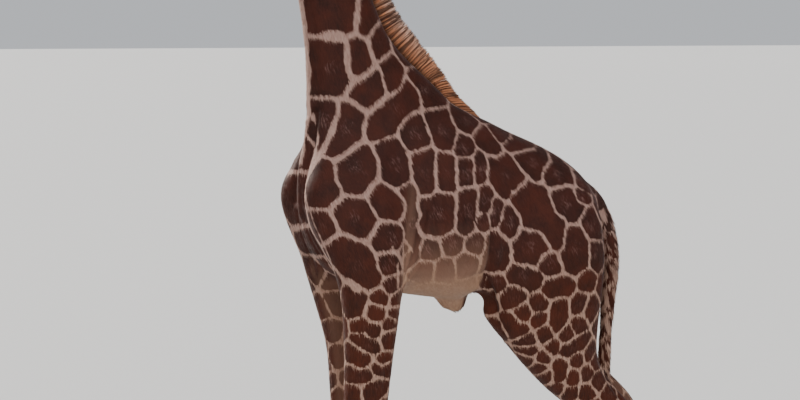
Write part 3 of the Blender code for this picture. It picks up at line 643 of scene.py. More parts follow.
def patch_spacing(points):
    """Usual distance between the middles of neighbouring patches."""
    y, z = points[:, 1], points[:, 2]
    size = 0.062 + 0.060 * ramp(z, 0.5, 1.5) + 0.055 * ramp(z, 1.5, 2.3) + 0.055 * ramp(z, 2.4, 3.2)
    size -= 0.055 * ramp(z, 3.7, 4.4) + 0.02 * ramp(y, 0.0, 0.5) * ramp(z, 1.6, 2.2)
    face = ramp(on_head(points)[:, 1], -0.04, 0.10) * ramp(z, 4.2, 4.35)
    return size * (1 - face) + 0.062 * face


random = np.random.default_rng(7)
TRIES = 26000           # places on the hide tried for the spaced patches
hide_points = coords(skin.data)
tries = hide_points[random.permutation(len(hide_points))[:TRIES]]
spacing = patch_spacing(tries)
near_placed = np.min(np.linalg.norm(tries[:, None] - placed[None], axis=2), axis=1)
near_placed[(tries[:, 0] > 0.05) & (tries[:, 2] > 1.25)] *= 0.68
free = np.full((2000, 3), 99.0)     # room for all, far off until they are placed
count = 0
for point, space, clear in zip(tries, spacing, near_placed):
    if clear < 0.92 * space:
        continue
    if np.min(np.sum((free[:count + 1] - point) ** 2, axis=1)) < (0.83 * space) ** 2:
        continue
    free[count] = point
    count += 1
free = free[:count].copy()
# Each spaced patch settles to the middle of its own ground, so that they end up even.
for _ in range(4):
    every = np.vstack((placed, free))
    own = np.concatenate([np.argmin(np.sum(every * every, axis=1)[None] - 2 * part @ every.T, axis=1)
                          for part in np.array_split(tries, 20)])
    share = np.bincount(own, 1 / spacing ** 2, len(every))
    keep = share[len(placed):] > 0
    for axis in range(3):
        middle = np.bincount(own, tries[:, axis] / spacing ** 2, len(every)) / np.maximum(share, 1e-9)
        free[keep, axis] = middle[len(placed):][keep]
seeds = np.vstack((placed, free))
patch_of = np.concatenate((patch_of, len(rows) + np.arange(len(free))))
patch_tone = random.random(len(rows) + len(free))
in_patch = np.bincount(patch_of)
patch_middle = np.stack([np.bincount(patch_of, seeds[:, axis]) / in_patch for axis in range(3)], 1)


def line_half(points):
    """Half the width of the pale net."""
    y, z = points[:, 1], points[:, 2]
    half = 0.0046 + 0.0022 * ramp(z, 0.9, 1.8)
    half += 0.0046 * ramp(-y, 0.25, 0.55) * ramp(z, 1.9, 2.3)
    half *= 1 - 0.20 * ramp(y, 0.10, 0.40) * ramp(z, 1.7, 2.0)
    return half * (1 - 0.5 * ramp(on_head(points)[:, 1], -0.04, 0.10) * ramp(z, 4.2, 4.35))


NEIGHBOURS = 11         # points of patches weighed at each place
CORNER_SOFTNESS = 0.006 # how far the net's corners are rounded


def markings(points):
    """How deep in its patch a point is, how far from its middle, and the patch's tone."""
    depth = np.empty(len(points))
    core = np.empty(len(points))
    shade = np.empty(len(points))
    half = line_half(points)
    seed_square = np.sum(seeds * seeds, axis=1)[None]
    for part in np.array_split(np.arange(len(points)), max(1, len(points) // 3000)):
        here = points[part]
        square = np.sum(here * here, axis=1)[:, None] - 2 * here @ seeds.T + seed_square
        some = np.argpartition(square, NEIGHBOURS, axis=1)[:, :NEIGHBOURS]
        close = np.take_along_axis(square, some, 1)
        first = np.argmin(close, axis=1)
        row = np.arange(len(part))
        own_seed = some[row, first]
        own = patch_of[own_seed]
        gap = np.linalg.norm(seeds[some] - seeds[own_seed][:, None], axis=2)
        reach = (close - close[row, first][:, None]) / (2 * np.maximum(gap, 0.01))
        other = patch_of[some]
        # Every pair of neighbours has its own width of line, from about 0.7 to 1.3 of the usual.
        pair = (own[:, None] * 31 + other * 31 + (own[:, None] * other) % 17) % 11 / 10
        reach = reach - half[part][:, None] * (0.72 + 0.62 * pair)
        reach[other == own[:, None]] = 9.0      # a patch has no line within itself
        least = reach.min(axis=1)
        crowd = np.sum(np.exp((least[:, None] - reach) / CORNER_SOFTNESS), axis=1)
        depth[part] = least - np.log(crowd) * CORNER_SOFTNESS
        core[part] = np.linalg.norm(here - patch_middle[own], axis=1)
        shade[part] = patch_tone[own]
    for y0, z0, y1, z1, width in LEFT_STROKES:
        gap, t = to_stroke(points, from_left(y0, z0), from_left(y1, z1))
        depth = np.minimum(depth, gap - width * (1 - 0.5 * np.abs(2 * t - 1) ** 4))
    for first, last, width in BREAST_STROKES:
        gap = to_stroke(points, nearest(skin_tree, first), nearest(skin_tree, last))[0]
        depth = np.minimum(depth, gap - width)
    # A pale strip runs down the front of the neck to the breast.
    x, y, z = points.T
    in_front = y < np.interp(z, [2.2, 3.0, 3.4, 4.2], [-0.66, -0.66, -0.70, -0.99])
    half_strip = 0.016 + 0.012 * ramp(z, 2.85, 3.1) * (1 - ramp(z, 3.6, 3.9))
    strip = np.abs(x + 0.004 * np.sin(z * 23)) - half_strip - 0.006 * np.sin(z * 41) * np.sin(z * 13)
    depth = np.where(in_front & (z > 2.66) & (z < 3.9), np.minimum(depth, strip), depth)
    # The dock is mottled instead of netted; about half of it is pale, light painted in against the rump's
    # shade.
    on_dock = (np.abs(x) < 0.052) & (y > 1.03) & (z < 2.34) & (z > 1.1)
    mottle = np.sin(58 * z + 2 * np.sin(37 * z) + 60 * x) * np.sin(95 * x + 27 * z + 75 * y)
    return np.where(on_dock, 0.0005 + 0.014 * mottle, depth), core, shade


def belly_pale(points, facing):
    """1 where the coat pales to buff: under the belly and inside the legs. Along the fold behind the elbow
    a band is faded to one flat tone, painted to stand for the fold's shade.
    """
    x, y, z = points.T
    between = ramp(y, -0.38, -0.27) * (1 - ramp(y, 0.190, 0.212))
    under = np.interp(z, [1.94, 1.99, 2.05, 2.11, 2.18, 2.25, 2.34],
                      [1.0, 0.93, 0.78, 0.50, 0.28, 0.12, 0.0]) * between
    low = ramp(-facing[:, 2], 0.45, 0.9) * ramp(z, 1.75, 1.95) * (1 - ramp(z, 2.3, 2.6)) * between
    inner = ramp(-facing[:, 0] * np.sign(x), 0.25, 0.85) * (1 - ramp(z, 2.0, 2.2)) * ramp(z, 0.3, 1.2)
    # Painted shade: a band along the fold behind the elbow, faded to one flat tone.
    fold = np.interp(z, [1.95, 2.15, 2.50], [-0.320, -0.300, -0.272])
    elbow = np.interp(z, [1.92, 2.02, 2.15, 2.30, 2.55], [0, 0.90, 0.75, 0.38, 0.22])
    elbow *= np.exp(-((y - fold) / 0.036) ** 2) * (z < 2.55) * ramp(np.abs(x), 0.15, 0.25)
    return np.maximum.reduce((under, elbow, low, 0.38 * inner))


def store(mesh, name, values):
    """A number or a vector at each point of the mesh."""
    values = np.asarray(values, np.float32)
    kind = "FLOAT" if values.ndim == 1 else "FLOAT_VECTOR"
    layer = mesh.attributes.new(name, kind, "POINT")
    layer.data.foreach_set("value" if values.ndim == 1 else "vector", values.ravel())


# What the coat's material reads, on the hide and on every tuft that grows from it.
hide_facing = normals(skin.data)
z = hide_points[:, 2]
along = on_head(hide_points)[:, 1]
face = ramp(along, 0.02, 0.12) * ramp(z, 4.2, 4.35)
hide = dict(zip(("depth", "core", "shade"), markings(hide_points)))
hide.update(pale=belly_pale(hide_points, hide_facing), face=face,
            upright=np.maximum(1 - ramp(z, 1.75, 2.15), ramp(z, 2.75, 3.1)),
            muzzle=ramp(along, 0.32, 0.54) * face, warm=1 - ramp(z, 1.75, 2.40),
            bare=np.maximum(lid_dark, slit_skin_and_shade))
for name, values in hide.items():
    store(skin.data, name, values)
store(skin.data, "root", hide_points)


# The coat's material: short giraffe hair, flat and sleek, 1 to 2 cm long. It shows as fine
# streaks along the lie of the hair, with ragged hairy edges where chestnut meets buff.
coat_hair, tree = new_material("short giraffe coat")
value = {name: put(tree, "Attribute", out="Fac", attribute_name=name) for name in hide}
root = put(tree, "Attribute", out="Vector", attribute_name="root")


def streaks(tree, root, across, along, detail):
    """Noise drawn out along the lie of the hair: backwards on the trunk, down elsewhere."""
    tilted = put(tree, "Mapping", root, links={"Rotation": (math.radians(65), 0, 0)})
    ways = (put(tree, "Mapping", tilted, links={"Scale": (1 / across, 1 / along, 1 / across)}),
            put(tree, "Mapping", root, links={"Scale": (1 / across, 1 / across, 1 / along)}))
    return put(tree, "Mix", value["upright"], *(put(tree, "TexNoise", way, 1.0, detail, 0.6) for way in ways))


# Streaks 5 mm across stand for single hairs, which are too fine to show.
fine = streaks(tree, root, 0.005, 0.040, 3.0)
coarse = streaks(tree, root, 0.013, 0.060, 2.0)
# Patches are blotched every 11 cm, and their outlines wobble every 3 cm.
blotch = put(tree, "TexNoise", root, 9.0, 3.0)
wobble = put(tree, "TexNoise", root, 34.0, 3.0)
# The edges of the patches wander by a few millimetres, and break into hairs.
inside = value["depth"]
for noise, play in ((fine, 0.010), (coarse, 0.018), (wobble, 0.016)):
    inside = put(tree, "Math", inside, put(tree, "Math", noise, play, -play / 2, operation="MULTIPLY_ADD"),
                 operation="ADD")
patch = put(tree, "MapRange", inside, -0.0022, 0.0022)
# A pale star near the middle of most patches, faint on the legs and the head.
core = put(tree, "Math", wobble, 0.12, -0.06, operation="MULTIPLY_ADD")
core = put(tree, "Math", value["core"], core, operation="ADD")
star = put(tree, "MapRange", core, 0.045, 0.0)
for source, *span in ((fine, 0.50, 0.64), (value["shade"], 0.35, 0.6),
                      (value["warm"], 0.0, 1.0, 0.62, 0.15), (value["face"], 0.0, 1.0, 1.0, 0.30)):
    star = put(tree, "Math", star, put(tree, "MapRange", source, *span), operation="MULTIPLY")

light_hair = put(tree, "Math", put(tree, "MapRange", fine, 0.35, 0.75), 0.45, operation="MULTIPLY")
deep_patch = put(tree, "Math", value["shade"], 0.28, operation="MULTIPLY")
on_face = put(tree, "Math", value["face"], 0.75, operation="MULTIPLY")
faded = put(tree, "Math", value["pale"], 0.92, operation="MULTIPLY")

# Chestnut and buff are both warmer down the legs, and both fade to the belly's buff.
warmer = {"data_type": "RGBA", "blend_type": "MULTIPLY"}
chestnut = put(tree, "Mix", put(tree, "MapRange", blotch, 0.35, 0.65),
               linear("#2a0f08"), linear("#42190e"), data_type="RGBA")
chestnut = put(tree, "Mix", light_hair, chestnut, linear("#5a2c1c"), data_type="RGBA")
chestnut = put(tree, "Mix", deep_patch, chestnut, linear("#1f0b07"), data_type="RGBA")
chestnut = put(tree, "Mix", value["warm"], chestnut, (1.12, 0.96, 0.45, 1.0), **warmer)
chestnut = put(tree, "Mix", star, chestnut, linear("#94706a"), data_type="RGBA")
belly = put(tree, "Mix", put(tree, "MapRange", coarse, 0.3, 0.7),
            linear("#88654e"), linear("#a8876e"), data_type="RGBA")
buff = put(tree, "Mix", put(tree, "MapRange", fine, 0.3, 0.7),
           linear("#866458"), linear("#b8998d"), data_type="RGBA")
buff = put(tree, "Mix", value["warm"], buff, (0.98, 0.97, 0.88, 1.0), **warmer)
buff = put(tree, "Mix", on_face, buff, linear("#a88567"), data_type="RGBA")
buff = put(tree, "Mix", value["pale"], buff, belly, data_type="RGBA")
ghost = put(tree, "Mix", faded, chestnut, linear("#866553"), data_type="RGBA")
muzzle = put(tree, "Mix", put(tree, "MapRange", blotch, 0.3, 0.7),
             linear("#75543f"), linear("#98775d"), data_type="RGBA")
# The net fades out along the bottom of the belly; the lids and lips are bare and dark, and the shade
# inside the nostrils and along the mouth is painted dark.
hair = buff
for share, over in ((patch, ghost), (put(tree, "MapRange", value["pale"], 0.84, 1.0, 0.0, 0.8), belly),
                    (value["muzzle"], muzzle), (value["bare"], linear("#1d1412"))):
    hair = put(tree, "Mix", share, hair, over, data_type="RGBA")
relief = put(tree, "Math", coarse, 0.8, fine, operation="MULTIPLY_ADD")
relief = put(tree, "Math", patch, 0.25, relief, operation="MULTIPLY_ADD")
bump = put(tree, "Bump", links={"Height": relief, "Strength": 0.55, "Distance": 0.004})
put(tree, "OutputMaterial", put(tree, "BsdfPrincipled", links={
    "Base Color": hair, "Roughness": 0.62, "Normal": bump, "Sheen Weight": 0.08,
    "Sheen Roughness": 0.4, "Specular IOR Level": 0.2}))
skin.data.materials.clear()
skin.data.materials.append(coat_hair)
skin.data.polygons.foreach_set("use_smooth", np.ones(len(skin.data.polygons), bool))


# The eyes: dark-brown balls with a level oval pupil. They are wet and polished, and the
# clear front bulges a little, so that it carries the catchlight.
eye_polish, tree = new_material("wet eyeball")
ahead_at, above_at = (put(tree, "Attribute", out="Fac", attribute_name=name) for name in ("ahead", "above"))
root = put(tree, "Attribute", out="Vector", attribute_name="root")
narrow = put(tree, "Math", ahead_at, 0.62, operation="MULTIPLY")
from_middle, from_pupil = (
    put(tree, "VectorMath", put(tree, "CombineXYZ", at, above_at), operation="LENGTH", out="Value")
    for at in (ahead_at, narrow))
# The iris is faintly flecked, about 1 mm across.
flecks = put(tree, "TexNoise", root, 900.0, 2.0)
iris = put(tree, "Mix", flecks, linear("#1c0e08"), linear("#3f2413"), data_type="RGBA")
iris = put(tree, "Mix", put(tree, "MapRange", from_pupil, 0.0060, 0.0072), linear("#040303"), iris,
           data_type="RGBA")
ball = put(tree, "Mix", put(tree, "MapRange", from_middle, 0.0170, 0.0195), iris, linear("#241a16"),
           data_type="RGBA")
put(tree, "OutputMaterial", put(tree, "BsdfPrincipled", links={
    "Base Color": ball, "Roughness": 0.06, "IOR": 1.376, "Coat Weight": 0.25, "Coat Roughness": 0.02}))
SIDES = ((1, "left"), (-1, "right"))


def array_mesh(name, points, faces):
    """A mesh from arrays of points and triangles, shaded smooth."""
    mesh = bpy.data.meshes.new(name)
    mesh.vertices.add(len(points))
    mesh.vertices.foreach_set("co", np.asarray(points, np.float32).ravel())
    mesh.loops.add(faces.size)
    mesh.loops.foreach_set("vertex_index", faces.astype(np.int32).ravel())
    mesh.polygons.add(len(faces))
    mesh.polygons.foreach_set("loop_start", np.arange(0, faces.size, 3, dtype=np.int32))
    mesh.polygons.foreach_set("use_smooth", np.ones(len(faces), bool))
    mesh.update(calc_edges=True)
    return mesh


def add_piece(name, mesh, material, slot, *stands_for):
    """A finished piece of the animal."""
    mesh.materials.clear()
    mesh.materials.append(material)
    obj = linked(name, mesh)
    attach(obj, "root")
    if stands_for:
        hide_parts(*stands_for)
    return obj


for side, name in SIDES:
    middle, ahead, above, out = eye_axes(side)
    bm = bmesh.new()
    bmesh.ops.create_uvsphere(bm, u_segments=48, v_segments=32, radius=1.0)
    mesh = bpy.data.meshes.new("eyeball_" + name)
    bm.to_mesh(mesh)
    bm.free()
    spot = coords(mesh)
    radius = EYE_RADIUS * 0.985 + 0.0009 * ramp(spot[:, 2:], 0.80, 1.0)
    set_coords(mesh, middle + spot @ np.array((ahead, above, out)) * radius)
    if np.dot(np.cross(ahead, above), out) < 0:
        mesh.flip_normals()
    mesh.polygons.foreach_set("use_smooth", np.ones(len(mesh.polygons), bool))
    # Behind the middle "ahead" is far off, so that the back of the ball has no iris.
    store(mesh, "ahead", spot[:, 0] * EYE_RADIUS + 9.0 * (spot[:, 2] < 0))
    store(mesh, "above", spot[:, 1] * EYE_RADIUS)
    store(mesh, "root", spot * 0.02)
    add_piece("eyeball_" + name, mesh, eye_polish, "eye", "eye_" + name)


# The lashes: long stiff hairs along the upper lid, curving out and down. They are black,
# a little glossy, and browner at the tip.
lash_hair, tree = new_material("black lash hair")
along = put(tree, "Attribute", out="Fac", attribute_name="along")
put(tree, "OutputMaterial", put(tree, "BsdfPrincipled", links={
    "Base Color": put(tree, "Mix", along, linear("#0d0908"), linear("#2a1c15"), data_type="RGBA"),
    "Roughness": 0.45, "Specular IOR Level": 0.4}))


def locks(path, side, width, thick):
    """Blades along paths: points (n, k + 1, 3), ways across (n, 3), widths and thicknesses (n, k)."""
    n, k = width.shape
    ridge = unit(np.cross(unit(np.diff(path, axis=1)), side[:, None]))
    half = side[:, None] * (width / 2)[..., None]
    ring = np.stack((path[:, :k] + half, path[:, :k] - half, path[:, :k] + ridge * thick[..., None]), 2)
    points = np.concatenate((ring.reshape(n, 3 * k, 3), path[:, k:]), axis=1)
    faces = [(0, 1, 2)]
    for low in range(0, 3 * k, 3):
        high = low + 3
        for a, b in ((0, 1), (1, 2), (2, 0)):
            if high == 3 * k:
                faces.append((low + b, low + a, high))
            else:
                faces += [(low + b, low + a, high + a), (low + b, high + a, high + b)]
    faces = np.array(faces)[None] + (np.arange(n) * (3 * k + 1))[:, None, None]
    share = np.concatenate((np.repeat(np.arange(k) / k, 3), [1.0]))
    return points.reshape(-1, 3), faces.reshape(-1, 3), np.tile(share, n)


def bake_map(mesh, root_uv, per_lock):
    """The OFBake map: each lock is a patch 0.003 across at its root's place."""
    corner = np.array([((i % 3) / 2 - 0.5, (i // 3) / max(1, (per_lock - 1) // 3) - 0.5)
                       for i in range(per_lock)]) * 0.003
    uv = (root_uv[:, None] + corner[None]).reshape(-1, 2)
    layer = mesh.uv_layers.new(name="OFBake")
    uv = uv[fetched(mesh.loops, "vertex_index", 1, np.int32)[:, 0]]
    layer.data.foreach_set("uv", np.clip(uv, 0.0, 1.0).astype(np.float32).ravel())


def hair_piece(name, path, side, width, thick, root_uv, rooted, material, slot, *stands_for):
    """A piece made of closed, tapered, three-sided locks. Rooted values hold for a whole lock."""
    points, faces, share = locks(path, side, width, thick)
    mesh = array_mesh(name, points, faces)
    per_lock = 3 * width.shape[1] + 1
    store(mesh, "along", share)
    for key, values in rooted.items():
        store(mesh, key, np.repeat(values, per_lock, axis=0))
    bake_map(mesh, root_uv, per_lock)
    return add_piece(name, mesh, material, slot, *stands_for)


def curved(root, way, out, length, stops, rise, fall):
    """Paths of hairs that go their way, and rise and fall as they go."""
    t = np.linspace(0, 1, stops)[None, :, None]
    bend = (rise * t - fall * t * t) * out[:, None]
    return root[:, None] + length[:, None, None] * (t * way[:, None] + bend)


for side, name in SIDES:
    middle, ahead, above, out = eye_axes(side)
    count = 150
    turn = np.linspace(math.radians(12), math.radians(168), count) + random.normal(0, 0.03, count)
    u = np.cos(turn) * OPENING * 1.02
    v = np.abs(np.sin(turn)) ** 1.25 * UPPER * 1.05
    w = EYE_RADIUS - (u * u + v * v) / (2 * EYE_RADIUS) + LID * 0.8
    root = middle + np.stack((u, v, w), 1) @ np.array((ahead, above, out))
    length = random.uniform(0.020, 0.034, count) * np.sin(turn) ** 0.4
    path = curved(root, out * 0.95 + (u / OPENING)[:, None] * ahead * 0.6, above[None], length, 5, 0.42, 0.75)
    width = 0.0010 * np.ones((count, 1)) * [1.0, 0.85, 0.6, 0.35]
    place = np.stack((np.linspace(0.1, 0.9, count), np.full(count, 0.5)), 1)
    hair_piece("lashes_" + name, path, unit(np.cross(path[:, 1] - path[:, 0], above[None])),
               width, width * 0.7, place, {}, lash_hair, "tuft")


# The ears: thin curled leaves of cartilage in short, soft, matt hair, buff with chestnut
# rims. Rows of pale silky hair stand inside them.
ear_hair, tree = new_material("short ear hair")
root = put(tree, "Attribute", out="Vector", attribute_name="root")
rim_at = put(tree, "Attribute", out="Fac", attribute_name="rim")
# Mottled every 17 mm, with a grain of 2 mm that stands for single hairs.
speck = put(tree, "TexNoise", root, 60.0, 4.0)
grain = put(tree, "TexNoise", root, 420.0, 2.0)
leaf = put(tree, "Mix", put(tree, "MapRange", speck, 0.35, 0.65), linear("#8d6c57"), linear("#c5aa94"),
           data_type="RGBA")
leaf = put(tree, "Mix", put(tree, "MapRange", rim_at, 0.45, 0.95), leaf, linear("#4a271a"), data_type="RGBA")
bump = put(tree, "Bump", links={"Height": grain, "Strength": 0.5, "Distance": 0.002})
put(tree, "OutputMaterial", put(tree, "BsdfPrincipled", links={
    "Base Color": leaf, "Roughness": 0.68, "Sheen Weight": 0.3, "Sheen Roughness": 0.4, "Normal": bump}))
# Silky inner hair: paler to the tip, with a soft shine.
inner_hair, tree = new_material("silky inner ear hair")
along = put(tree, "Attribute", out="Fac", attribute_name="along")
put(tree, "OutputMaterial", put(tree, "BsdfPrincipled", links={
    "Base Color": put(tree, "Mix", along, linear("#9a7f6b"), linear("#e2d3c2"), data_type="RGBA"),
    "Roughness": 0.5, "Sheen Weight": 0.3, "Sheen Roughness": 0.4}))
EAR_LENGTH = 0.225


def welded(node):
    """A copy of a node's mesh with its split corners joined."""
    bm = bmesh.new()
    bm.from_mesh(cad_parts[node].data)
    bmesh.ops.remove_doubles(bm, verts=bm.verts, dist=SAME_POINT)
    mesh = bpy.data.meshes.new(node + "_form")
    bm.to_mesh(mesh)
    bm.free()
    return mesh


def rounded(mesh, levels):
    """The mesh made finer and smooth by subdivision."""
    obj = linked("rounded", mesh)
    modifier = obj.modifiers.new("Round", "SUBSURF")
    modifier.levels = levels
    modifier.render_levels = levels
    applied(obj)
    mesh = obj.data
    bpy.data.objects.remove(obj)
    mesh.polygons.foreach_set("use_smooth", np.ones(len(mesh.polygons), bool))
    return mesh


def scattered(mesh, chance, count):
    """Random places on a mesh: the corners of the triangle each is in, and their shares."""
    mesh.calc_loop_triangles()
    corners = fetched(mesh.loop_triangles, "vertices", 3, np.int32)
    a, b, c = coords(mesh)[corners].transpose(1, 0, 2)
    area = np.linalg.norm(np.cross(b - a, c - a), axis=1) * chance[corners].mean(axis=1)
    total = np.cumsum(area)
    # Even steps with a little play, so that the roots neither bunch nor leave gaps.
    at = (np.arange(count) + random.random(count)) / count * total[-1]
    chosen = np.minimum(np.searchsorted(total, at), len(corners) - 1)
    r = random.random((count, 2))
    flip = r.sum(axis=1) > 1
    r[flip] = 1 - r[flip]
    return corners[chosen], np.stack((1 - r.sum(axis=1), r[:, 0], r[:, 1]), 1)


def carried(values, corners, share):
    """Values at the mesh's points, carried to places on it."""
    return np.einsum("nc,nc...->n...", share, np.asarray(values)[corners])


def laid(ways, facing):
    """Ways turned flat along the hide."""
    return unit(ways - facing * np.sum(ways * facing, axis=1, keepdims=True))


for side, name in SIDES:
    mesh = rounded(welded("ear_" + name), 2)
    points = coords(mesh)
    facing = normals(mesh)
    ear_way = unit(across_way * side * 0.80 - along_way * 0.30 + crown_way * 0.42)
    ear_face = along_way + across_way * side * 0.25 + crown_way * 0.1
    ear_face = unit(ear_face - ear_way * (ear_face @ ear_way))
    ear_across = np.cross(ear_way, ear_face)
    base = off_head(side * 0.072, 0.010, 0.040)
    up_ear = (points - base) @ ear_way / EAR_LENGTH
    half_width = np.interp(up_ear, [0, 0.17, 0.33, 0.5, 0.67, 0.83, 1.0],
                           [0.026, 0.044, 0.055, 0.056, 0.047, 0.030, 0.010])
    off_axis = np.abs((points - base) @ ear_across)
    rim = np.maximum(np.clip(off_axis / half_width, 0, 1) ** 2, ramp(up_ear, 0.8, 1.0))
    store(mesh, "rim", rim)
    store(mesh, "root", points)
    inside_ear = (facing @ ear_face > 0.15) & (up_ear > 0.08) & (up_ear < 0.93)
    corners, share = scattered(mesh, inside_ear * (0.35 + 1.2 * rim), 1500)
    root = carried(points, corners, share)
    out = unit(carried(facing, corners, share))
    rise = carried(up_ear, corners, share)
    off_axis = (root - base) @ ear_across
    inward = -np.sign(off_axis)[:, None] * ear_across
    way = laid(ear_way * 0.8 + inward * 0.7 + random.normal(0, 0.12, root.shape), out)
    length = (0.030 - 0.016 * rise) * random.uniform(0.7, 1.15, len(root))
    width = 0.0016 * np.ones((len(root), 1)) * [1.0, 0.8, 0.45]
    place = np.stack((0.05 + 0.9 * np.clip(rise, 0, 1), 0.5 + off_axis * 7), 1)
    add_piece("ear_" + name + "_leaf", mesh, ear_hair, "coat", "ear_" + name)
    hair_piece("ear_silk_" + name, curved(root, way, out, length, 4, 0.40, 0.22), unit(np.cross(way, out)),
               width, width * 0.5, place, {}, inner_hair, "coat")


# The ossicones: bone knobs in matt hairy skin, chestnut up the stem, with black hair
# round the worn, bald top of a male. The skin's grain runs up the stem, 4 mm across.
horn_skin, tree = new_material("hairy horn skin")
root = put(tree, "Attribute", out="Vector", attribute_name="root")
rise_at = put(tree, "Attribute", out="Fac", attribute_name="rise")
grain = put(tree, "TexNoise", put(tree, "Mapping", root, links={"Scale": (260.0, 260.0, 60.0)}), 1.0, 3.0)
level = put(tree, "Math", rise_at, put(tree, "Math", grain, 0.16, -0.08, operation="MULTIPLY_ADD"),
            operation="ADD")
stem = put(tree, "Mix", put(tree, "MapRange", grain, 0.3, 0.7), linear("#5a3422"), linear("#8a5f45"),
           data_type="RGBA")
# Black hair starts two thirds of the way up, and the worn top is bare.
for low, high, colour in ((0.60, 0.76, "#150e0b"), (0.965, 0.995, "#3a2b25")):
    stem = put(tree, "Mix", put(tree, "MapRange", level, low, high), stem, linear(colour), data_type="RGBA")
bump = put(tree, "Bump", links={"Height": grain, "Strength": 0.6, "Distance": 0.003})
put(tree, "OutputMaterial", put(tree, "BsdfPrincipled", links={
    "Base Color": stem, "Roughness": 0.7, "Sheen Weight": 0.2, "Sheen Roughness": 0.4, "Normal": bump}))
HORN_LENGTH = 0.185
for side, name in SIDES:
    mesh = rounded(welded("ossicone_" + name), 2)
    points = coords(mesh)
    facing = normals(mesh)
    horn_way = unit(crown_way - along_way * 0.42 + across_way * side * 0.16)
    foot = off_head(side * 0.042, 0.085, 0.085)
    rise = (points - foot) @ horn_way / HORN_LENGTH
    lumps = np.sin(points @ (170.0, 90.0, 40.0)) * np.sin(points @ (-60.0, 120.0, 95.0))
    set_coords(mesh, points + facing * (0.0008 * lumps)[:, None])
    store(mesh, "rise", rise)
    store(mesh, "root", points)
    chance = 0.25 + 1.6 * ramp(rise, 0.55, 0.80) * (1 - ramp(rise, 0.93, 0.97))
    corners, share = scattered(mesh, chance, 2600)
    root = carried(points, corners, share)
    out = unit(carried(facing, corners, share))
    high = carried(rise, corners, share)
    way = laid(horn_way + random.normal(0, 0.12, root.shape), out)
    length = (0.007 + 0.010 * ramp(high, 0.55, 0.8)) * random.uniform(0.7, 1.2, len(root))
    width = 0.0014 * np.ones((len(root), 1)) * [1.0, 0.6]
    turn = np.arctan2((root - foot) @ across_way, (root - foot) @ along_way) / (2 * math.pi) + 0.5
    place = 0.05 + 0.9 * np.stack((turn, np.clip(high, 0, 1)), 1)
    add_piece("horn_" + name, mesh, horn_skin, "horn_skin", "ossicone_" + name)
    hair_piece("horn_fur_" + name, curved(root, way, out, length, 3, 0.25, 0.10), unit(np.cross(way, out)),
               width, width * 0.5, place, {"rise": high, "root": root}, horn_skin, "horn_skin")


# The hooves: two claws to each foot. Their dark brown horn is ringed by its growth, dull
# from dust, and paler where it is worn at the rim.
hoof_horn, tree = new_material("hoof horn")
root = put(tree, "Attribute", out="Vector", attribute_name="root")
rise_at = put(tree, "Attribute", out="Fac", attribute_name="rise")
# Rings 7 mm apart, and upright fibres drawn 2 mm across, which is coarser than they are.
rings = put(tree, "TexNoise", put(tree, "Mapping", root, links={"Scale": (14.0, 14.0, 150.0)}), 1.0, 4.0)
fibres = put(tree, "TexNoise", put(tree, "Mapping", root, links={"Scale": (420.0, 420.0, 30.0)}), 1.0, 2.0)
horn = put(tree, "Mix", put(tree, "MapRange", rings, 0.35, 0.65), linear("#2c211b"), linear("#463830"),
           data_type="RGBA")
horn = put(tree, "Mix", put(tree, "MapRange", rise_at, 0.020, 0.0), horn, linear("#64554a"), data_type="RGBA")
relief = put(tree, "Math", fibres, 0.25, rings, operation="MULTIPLY_ADD")
put(tree, "OutputMaterial", put(tree, "BsdfPrincipled", links={
    "Base Color": horn, "Roughness": put(tree, "MapRange", rings, 0.3, 0.7, 0.42, 0.60),
    "Normal": put(tree, "Bump", links={"Height": relief, "Strength": 0.28, "Distance": 0.002})}))
for claw in [f"{end}_{name}_{part}" for end in ("front", "hind") for name in ("left", "right")
             for part in ("outer", "inner")]:
    mesh = welded("hoof_" + claw)
    ends = fetched(mesh.edges, "vertices", 2, np.int32)
    sole = coords(mesh)[ends][:, :, 2].max(axis=1) < 0.001
    crease = mesh.attributes.new("crease_edge", "FLOAT", "EDGE")
    crease.data.foreach_set("value", np.where(sole, 0.85, 0.0).astype(np.float32))
    mesh = rounded(mesh, 3)
    points = coords(mesh)
    facing = normals(mesh)
    z = points[:, 2]
    swell = 0.0005 * np.sin(z * 520 + 3 * np.sin(points[:, 1] * 25)) * ramp(z, 0.006, 0.02)
    level = facing * (1 - ramp(np.abs(facing[:, 2]), 0.5, 0.9))[:, None]
    points = points + level * (swell - 0.0013)[:, None]
    points[z < 0.0015, 2] = 0.0
    set_coords(mesh, points)
    store(mesh, "root", points)
    store(mesh, "rise", points[:, 2])
    add_piece("claw_" + claw, mesh, hoof_horn, "hoof", "hoof_" + claw)


# The mane: stiff, nearly matt hair on the crest from poll to withers. It is orange-brown, with shade
# painted dark at the root, pale highlights painted on the tips, and painted shade in the partings of its
# clumps.
mane_hair, tree = new_material("stiff mane hair")
root = put(tree, "Attribute", out="Vector", attribute_name="root")
along, tone = (put(tree, "Attribute", out="Fac", attribute_name=name) for name in ("along", "tone"))
# Painted shade darkens the hair near the root; beyond it the hair is orange-brown.
mane = put(tree, "Mix", put(tree, "MapRange", along, 0.0, 0.28), linear("#3a170c"), linear("#c67f57"),
           data_type="RGBA")
# Highlights are painted pale on the tips up the neck; over the withers the tips stay orange.
height = put(tree, "SeparateXYZ", root, out="Z")
tip_highlight = put(tree, "Mix", put(tree, "MapRange", height, 3.10, 3.38), linear("#d6946a"), linear("#ffe2d0"),
               data_type="RGBA")
mane = put(tree, "Mix", put(tree, "MapRange", along, 0.30, 1.0), mane, tip_highlight, data_type="RGBA")
